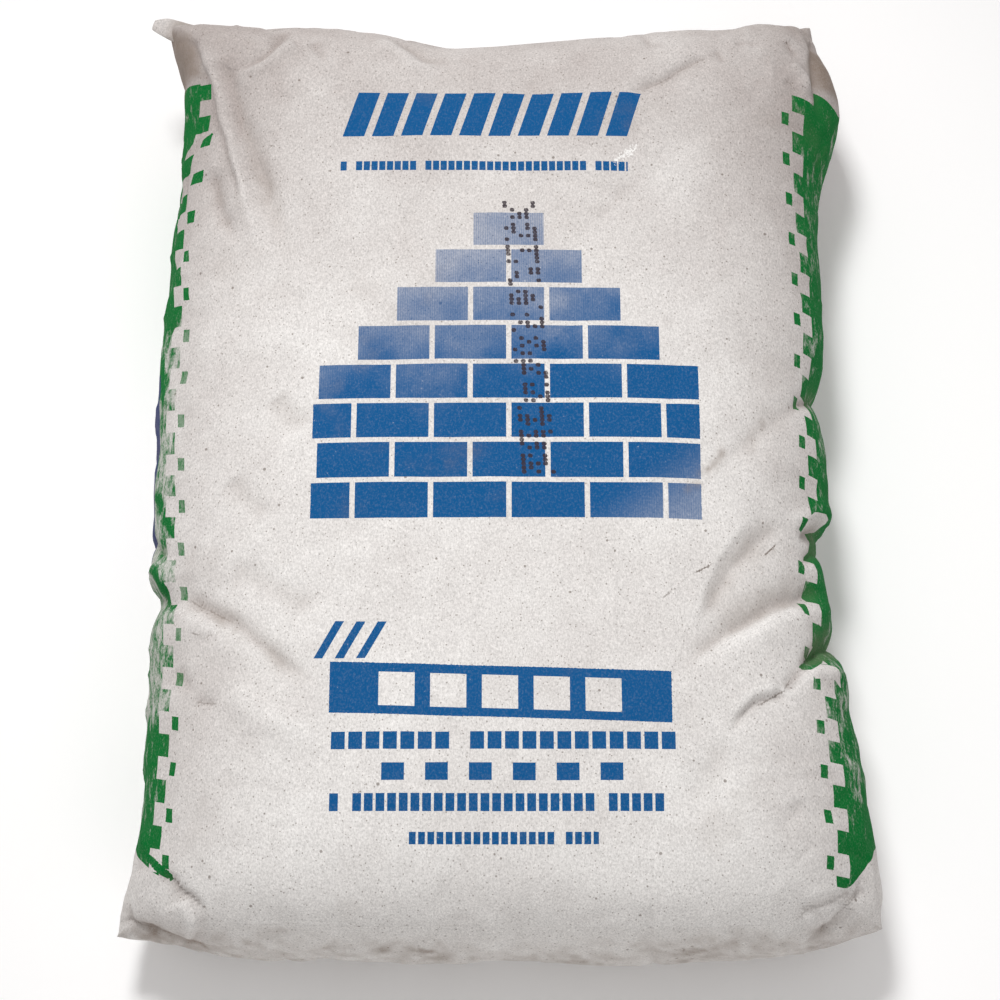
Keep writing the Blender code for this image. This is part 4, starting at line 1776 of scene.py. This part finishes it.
    def shape(self) -> Shape:
        """Builds the closed skin: the crumpled grid and one flat face under it.

        Returns:
            The skin, with the values that its finish reads.
        """
        base, quads, paper, place = self.plain()
        normals = quad_normals(base, quads)
        lift = self.lift(base, normals, base)
        points = base + normals * lift[:, None]
        points[:, 2] = np.maximum(points[:, 2], 0.0)
        rim_count = 2 * (self.across + self.along)
        last = np.arange(len(points) - rim_count, len(points))[::-1]
        points[last, 2] = 0.0
        corners = np.concatenate([quads.ravel(), last])
        starts = np.concatenate([np.arange(len(quads)) * 4, [len(quads) * 4]])
        under = points[last, :2] + np.array([0.0, self.underside_shift])
        traits = self.wear.traits(place, base, lift, hollows(quads, lift, self.levelling))
        traits.update(self.printing.traits(place[:, 0], place[:, 1], base))
        layout = self.printing.layout(*paper.reshape(-1, 4, 2).transpose(2, 0, 1))
        layout = {name: np.pad(values, ((0, rim_count), (0, 0))) for name, values in layout.items()}
        return Shape(points, corners, starts, np.concatenate([paper, under]), traits, layout)


@dataclass(frozen=True)
class CoverSheet:
    """Paper strip pasted over a folded end, thinned towards its rim.

    The shares are those of the end wall that it covers, and the rim share is the part of its gap
    and thickness that is left at its rim. Up the wall the rim is narrower by the rim ratio.
    """

    end: End
    skin: SackSkin
    share_across: float = 0.735
    share_up: float = 0.60
    gap: float = 0.00020
    thickness: float = 0.00022
    rim_share: float = 0.20
    rim_reach: float = 0.08
    rim_ratio: float = 0.4
    across: int = 150
    up: int = 40

    def grid(self) -> tuple[np.ndarray, np.ndarray]:
        """Spaces the sheet's points evenly over its share of the end wall.

        Returns:
            Places on the block across and up, each across by up.
        """
        a = np.linspace(-self.share_across, self.share_across, self.across + 1)
        c = np.linspace(1.0, -self.share_up, self.up + 1)
        return np.meshgrid(a, c, indexing="ij")

    def shape(self) -> Shape:
        """Lays a grid over the end wall and closes it to a thin sheet.

        The outer face is the crumpled wall moved out by the gap and the thickness, the inner face
        is the wall moved out by the gap, and rim faces join the two. The dirt and the painted shade
        and light are those of the wall.

        Returns:
            The closed sheet.
        """
        aa, cc = self.grid()
        wall = self.skin.form.points(np.stack([aa, np.full_like(aa, float(self.end.value)), cc], -1))
        base, base_quads, _, base_place = self.skin.plain()
        rim_row = np.arange(self.skin.across + 1) * (self.skin.along + 1)
        rim_row = rim_row + (self.skin.along if self.end is End.HEAD else 0)
        fall = lengths_passed(wall, 1)
        edge = [np.interp(wall[:, 0, 0], base[rim_row, 0], base_place[rim_row, axis]) for axis in (0, 1)]
        place = np.stack([edge[0][:, None] + 0 * fall, edge[1][:, None] + self.end.value * fall], -1)
        kept = cc[0] < self.share_up + TINY
        aa, cc, wall, place = aa[:, kept], cc[:, kept], wall[:, kept], place[:, kept].reshape(-1, 2)
        wall = wall.reshape(-1, 3)

        number = np.arange(len(wall)).reshape(aa.shape)
        quads = cells(number)[:, [0, 3, 2, 1]]
        if self.end is End.HEAD:
            quads = quads[:, ::-1]
        normals = quad_normals(wall, quads)
        lift = self.skin.lift(base, quad_normals(base, base_quads), wall)
        upright = self.rim_ratio * (1 - np.abs(cc) / self.share_up)
        inset = np.minimum(1 - np.abs(aa) / self.share_across, upright)
        full = self.rim_share + (1 - self.rim_share) * smooth_step(0.0, self.rim_reach, inset.ravel())
        inner = wall + normals * (lift + self.gap * full)[:, None]
        outer = inner + normals * (self.thickness * full)[:, None]
        rim = np.concatenate([number[:, 0], number[-1, 1:], number[-2::-1, -1], number[0, -2:0:-1]])
        if self.end is End.FOOT:
            rim = rim[::-1]
        after = np.roll(rim, -1)
        count = len(wall)
        sides = np.stack([rim + count, after + count, after, rim], axis=-1)
        faces = np.concatenate([quads + count, quads[:, ::-1], sides])
        points = np.concatenate([inner, outer])
        hollow = hollows(quads, lift, self.skin.levelling)
        traits = self.skin.wear.traits(place, wall, lift, hollow)
        traits = {name: np.tile(values, 2) for name, values in traits.items()}
        paper = np.tile(place, (2, 1))[faces.ravel()]
        return Shape(points, faces.ravel(), np.arange(len(faces)) * 4, paper, traits, crisp=True)


@dataclass(frozen=True)
class ValveSleeve:
    """Flattened paper tube in the head ear on the left, rounded off towards its mouth.

    It closes in over the last part of its length, which closing gives by start and length. The falls
    are the share lost there and its power. A ripple has a height, waves round the tube and a twist.
    """

    tip: Place = (-0.2442, 0.3251, 0.0860)
    way: Place = (-0.96, 0.27, 0.06)
    length: float = 0.044
    width: float = 0.0168
    height: float = 0.0052
    wall: float = 0.0007
    closing: Span = (0.55, 0.45)
    width_fall: Span = (0.55, 2.6)
    height_fall: Span = (0.40, 2)
    ripples: tuple[Place, ...] = ((0.05, 3, 9), (0.03, 5, -14))
    tone: float = 0.45
    root_soil: Rise = Rise(0.50, 0.86, 0.55)
    # Painted shade on the tube's inner face.
    inner_painted_shade: float = 0.5
    around: int = 96
    steps: int = 60

    def section(self, turn: np.ndarray, inset: float, along: np.ndarray) -> tuple[np.ndarray, np.ndarray]:
        """Gives the tube's section: a flattened ring, rippled, that closes in towards the tip.

        With e as the share of the closing length, the width and the height each fall by their own
        share times e to their own power.

        Args:
            turn: Angles round the section.
            inset: Distance inside the outer face.
            along: Share of the length from the root at 0 to the tip at 1.

        Returns:
            Places across and up.
        """
        ripple = 1.0
        for height, waves, twist in self.ripples:
            ripple = ripple + height * np.sin(waves * turn + twist * along)
        start, length = self.closing
        last = np.clip((along - start) / length, 0.0, 1.0)
        half_width, half_height = (
            size / 2 * (1 - share * last**power) - inset
            for size, (share, power) in ((self.width, self.width_fall), (self.height, self.height_fall))
        )
        return half_width * np.cos(turn) * ripple, half_height * np.sin(turn) * ripple

    def shape(self) -> Shape:
        """Carries the section along the sleeve's way, outside and back inside.

        Returns:
            The closed tube.
        """
        way = np.array(self.way) / np.linalg.norm(self.way)
        side = np.cross(way, [0.0, 0.0, 1.0])
        side /= np.linalg.norm(side)
        up = np.cross(side, way)
        turn = np.linspace(0.0, 2 * math.pi, self.around, endpoint=False)
        along = np.linspace(0.0, 1.0, self.steps + 1)
        share = np.concatenate([along, along[::-1]])
        inset = np.concatenate([np.zeros(len(along)), np.full(len(along), self.wall)])
        turns, shares = np.meshgrid(turn, share)
        insets = np.repeat(inset[:, None], self.around, axis=1)
        across, height = self.section(turns, insets, shares)
        out = (shares - 1) * self.length
        points = (
            np.array(self.tip) + out[..., None] * way + across[..., None] * side
            + height[..., None] * up
        ).reshape(-1, 3)
        rings = len(share)
        number = np.arange(rings * self.around).reshape(rings, self.around)
        after = np.roll(number, -1, axis=1)
        below = np.roll(number, -1, axis=0)
        quads = np.stack([number, after, np.roll(after, -1, axis=0), below], axis=-1).reshape(-1, 4)
        paper = np.stack([turns * self.width / 2, shares * self.length], axis=-1).reshape(-1, 2)
        corners = quads.ravel()
        # Painted shade inside the tube, dirt towards its root.
        inside = np.where(insets > 0, self.inner_painted_shade, 0.0).ravel()
        soil = np.maximum(self.root_soil.at(shares.ravel()), inside)
        traits = {"tone": cloudiness(points) + self.tone, "soil": soil}
        return Shape(points, corners, np.arange(len(quads)) * 4, paper[corners], traits)


@dataclass(frozen=True)
class CementSack:
    """The whole sack: printed skin, two cover sheets and the valve sleeve."""

    skin: SackSkin = SackSkin()
    paper: PaperStock = PaperStock()
    fill: float = 0.85

    def build(self) -> None:
        """Builds, dresses and places every piece."""
        sack = self.add("printed_paper_sack", self.skin.shape(), "paper_sack", "paper")
        self.skin.printing.dress(sack, self.paper)
        for name, end in (("foot_cover_paper", End.FOOT), ("head_cover_paper", End.HEAD)):
            node = f"{end.name.lower()}_cover_sheet"
            self.paper.dress(self.add(name, CoverSheet(end, self.skin).shape(), node, "cover_paper"))
        sleeve = self.add("valve_sleeve_paper", ValveSleeve().shape(), "valve_sleeve", "valve_paper")
        self.paper.dress(sleeve)

    def add(self, name: str, shape: Shape, node: str, slot: str) -> bpy.types.Object:
        """Makes a piece of a shape, in the place of one solid of the frame.

        Args:
            name: Name of the piece.
            shape: Its mesh.
            node: Solid that it stands for.
            slot: Not used.

        Returns:
            The new object.
        """
        piece = shape.piece(name)
        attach(piece, "root")
        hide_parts(node)
        LOG.info("%s: %d points, %d faces", name, len(shape.points), len(shape.starts))
        return piece


@dataclass(frozen=True)
class Lamp:
    """Square soft lamp, whose light narrows to a spread in degrees."""

    name: str
    place: Place
    size: float
    power: float
    spread: float = 180.0

    def hang(self, target: Place) -> None:
        """Hangs the lamp.

        Args:
            target: Place that it faces.
        """
        light = bpy.data.lights.new(self.name, "AREA")
        light.size = self.size
        light.energy = self.power
        light.spread = math.radians(self.spread)
        lamp = bpy.data.objects.new(self.name, light)
        lamp.location = self.place
        lamp.rotation_euler = (Vector(self.place) - Vector(target)).to_track_quat("Z", "Y").to_euler()
        bpy.context.scene.collection.objects.link(lamp)


@dataclass(frozen=True)
class Studio:
    """Pale floor, soft light and a camera that looks steeply down from beyond the foot."""

    target: Place = (0.0028, -0.0539, 0.13)
    distance: float = 1.55
    tilt: float = 20.7
    lens: float = 87.05
    sensor: float = 36.0
    floor_half: float = 6.0
    floor_roughness: float = 0.9
    floor_colour: Colour = (0.98, 0.98, 0.98)
    world_colour: Colour = (1.0, 0.975, 0.965)
    world_light: float = 0.53
    lamps: tuple[Lamp, ...] = (
        Lamp("key_lamp", (-0.45, 1.15, 2.20), 0.60, 5.1, 60.0),
        Lamp("fill_lamp", (0.35, -1.90, 1.00), 1.00, 3.6),
    )

    def build(self) -> None:
        """Sets up floor, world, lamps and camera."""
        self.floor()
        world = bpy.data.worlds.new("soft_room")
        world.use_nodes = True
        background = world.node_tree.nodes["Background"]
        background.inputs["Color"].default_value = (*self.world_colour, 1.0)
        background.inputs["Strength"].default_value = self.world_light
        bpy.context.scene.world = world
        for lamp in self.lamps:
            lamp.hang(self.target)
        self.camera()
        bpy.context.scene.view_settings.view_transform = "Standard"

    def floor(self) -> bpy.types.Object:
        """Lays a wide flat floor of four points.

        Returns:
            The floor.
        """
        points = np.array([[-1, -1, 0], [1, -1, 0], [1, 1, 0], [-1, 1, 0]]) * self.floor_half
        floor = Shape(points, np.arange(4), np.array([0]), points[:, :2]).piece("floor")
        material = bpy.data.materials.new("pale_floor")
        material.use_nodes = True
        shader = material.node_tree.nodes["Principled BSDF"]
        shader.inputs["Base Color"].default_value = (*self.floor_colour, 1.0)
        shader.inputs["Roughness"].default_value = self.floor_roughness
        floor.data.materials.append(material)
        return floor

    def camera(self) -> None:
        """Stands the camera beyond the foot, tilted from the upright."""
        tilt = math.radians(self.tilt)
        data = bpy.data.cameras.new("camera")
        data.sensor_width = self.sensor
        data.lens = self.lens
        camera = bpy.data.objects.new("camera", data)
        away = Vector((0.0, -math.sin(tilt), math.cos(tilt))) * self.distance
        camera.location = Vector(self.target) + away
        camera.rotation_euler = (tilt, 0.0, 0.0)
        bpy.context.scene.collection.objects.link(camera)
        bpy.context.scene.camera = camera


def main() -> None:
    """Builds the sack and the studio around it."""
    logging.basicConfig(level=logging.INFO, format="%(name)s: %(message)s")
    CementSack().build()
    Studio().build()


if __name__ == "__main__":
    main()
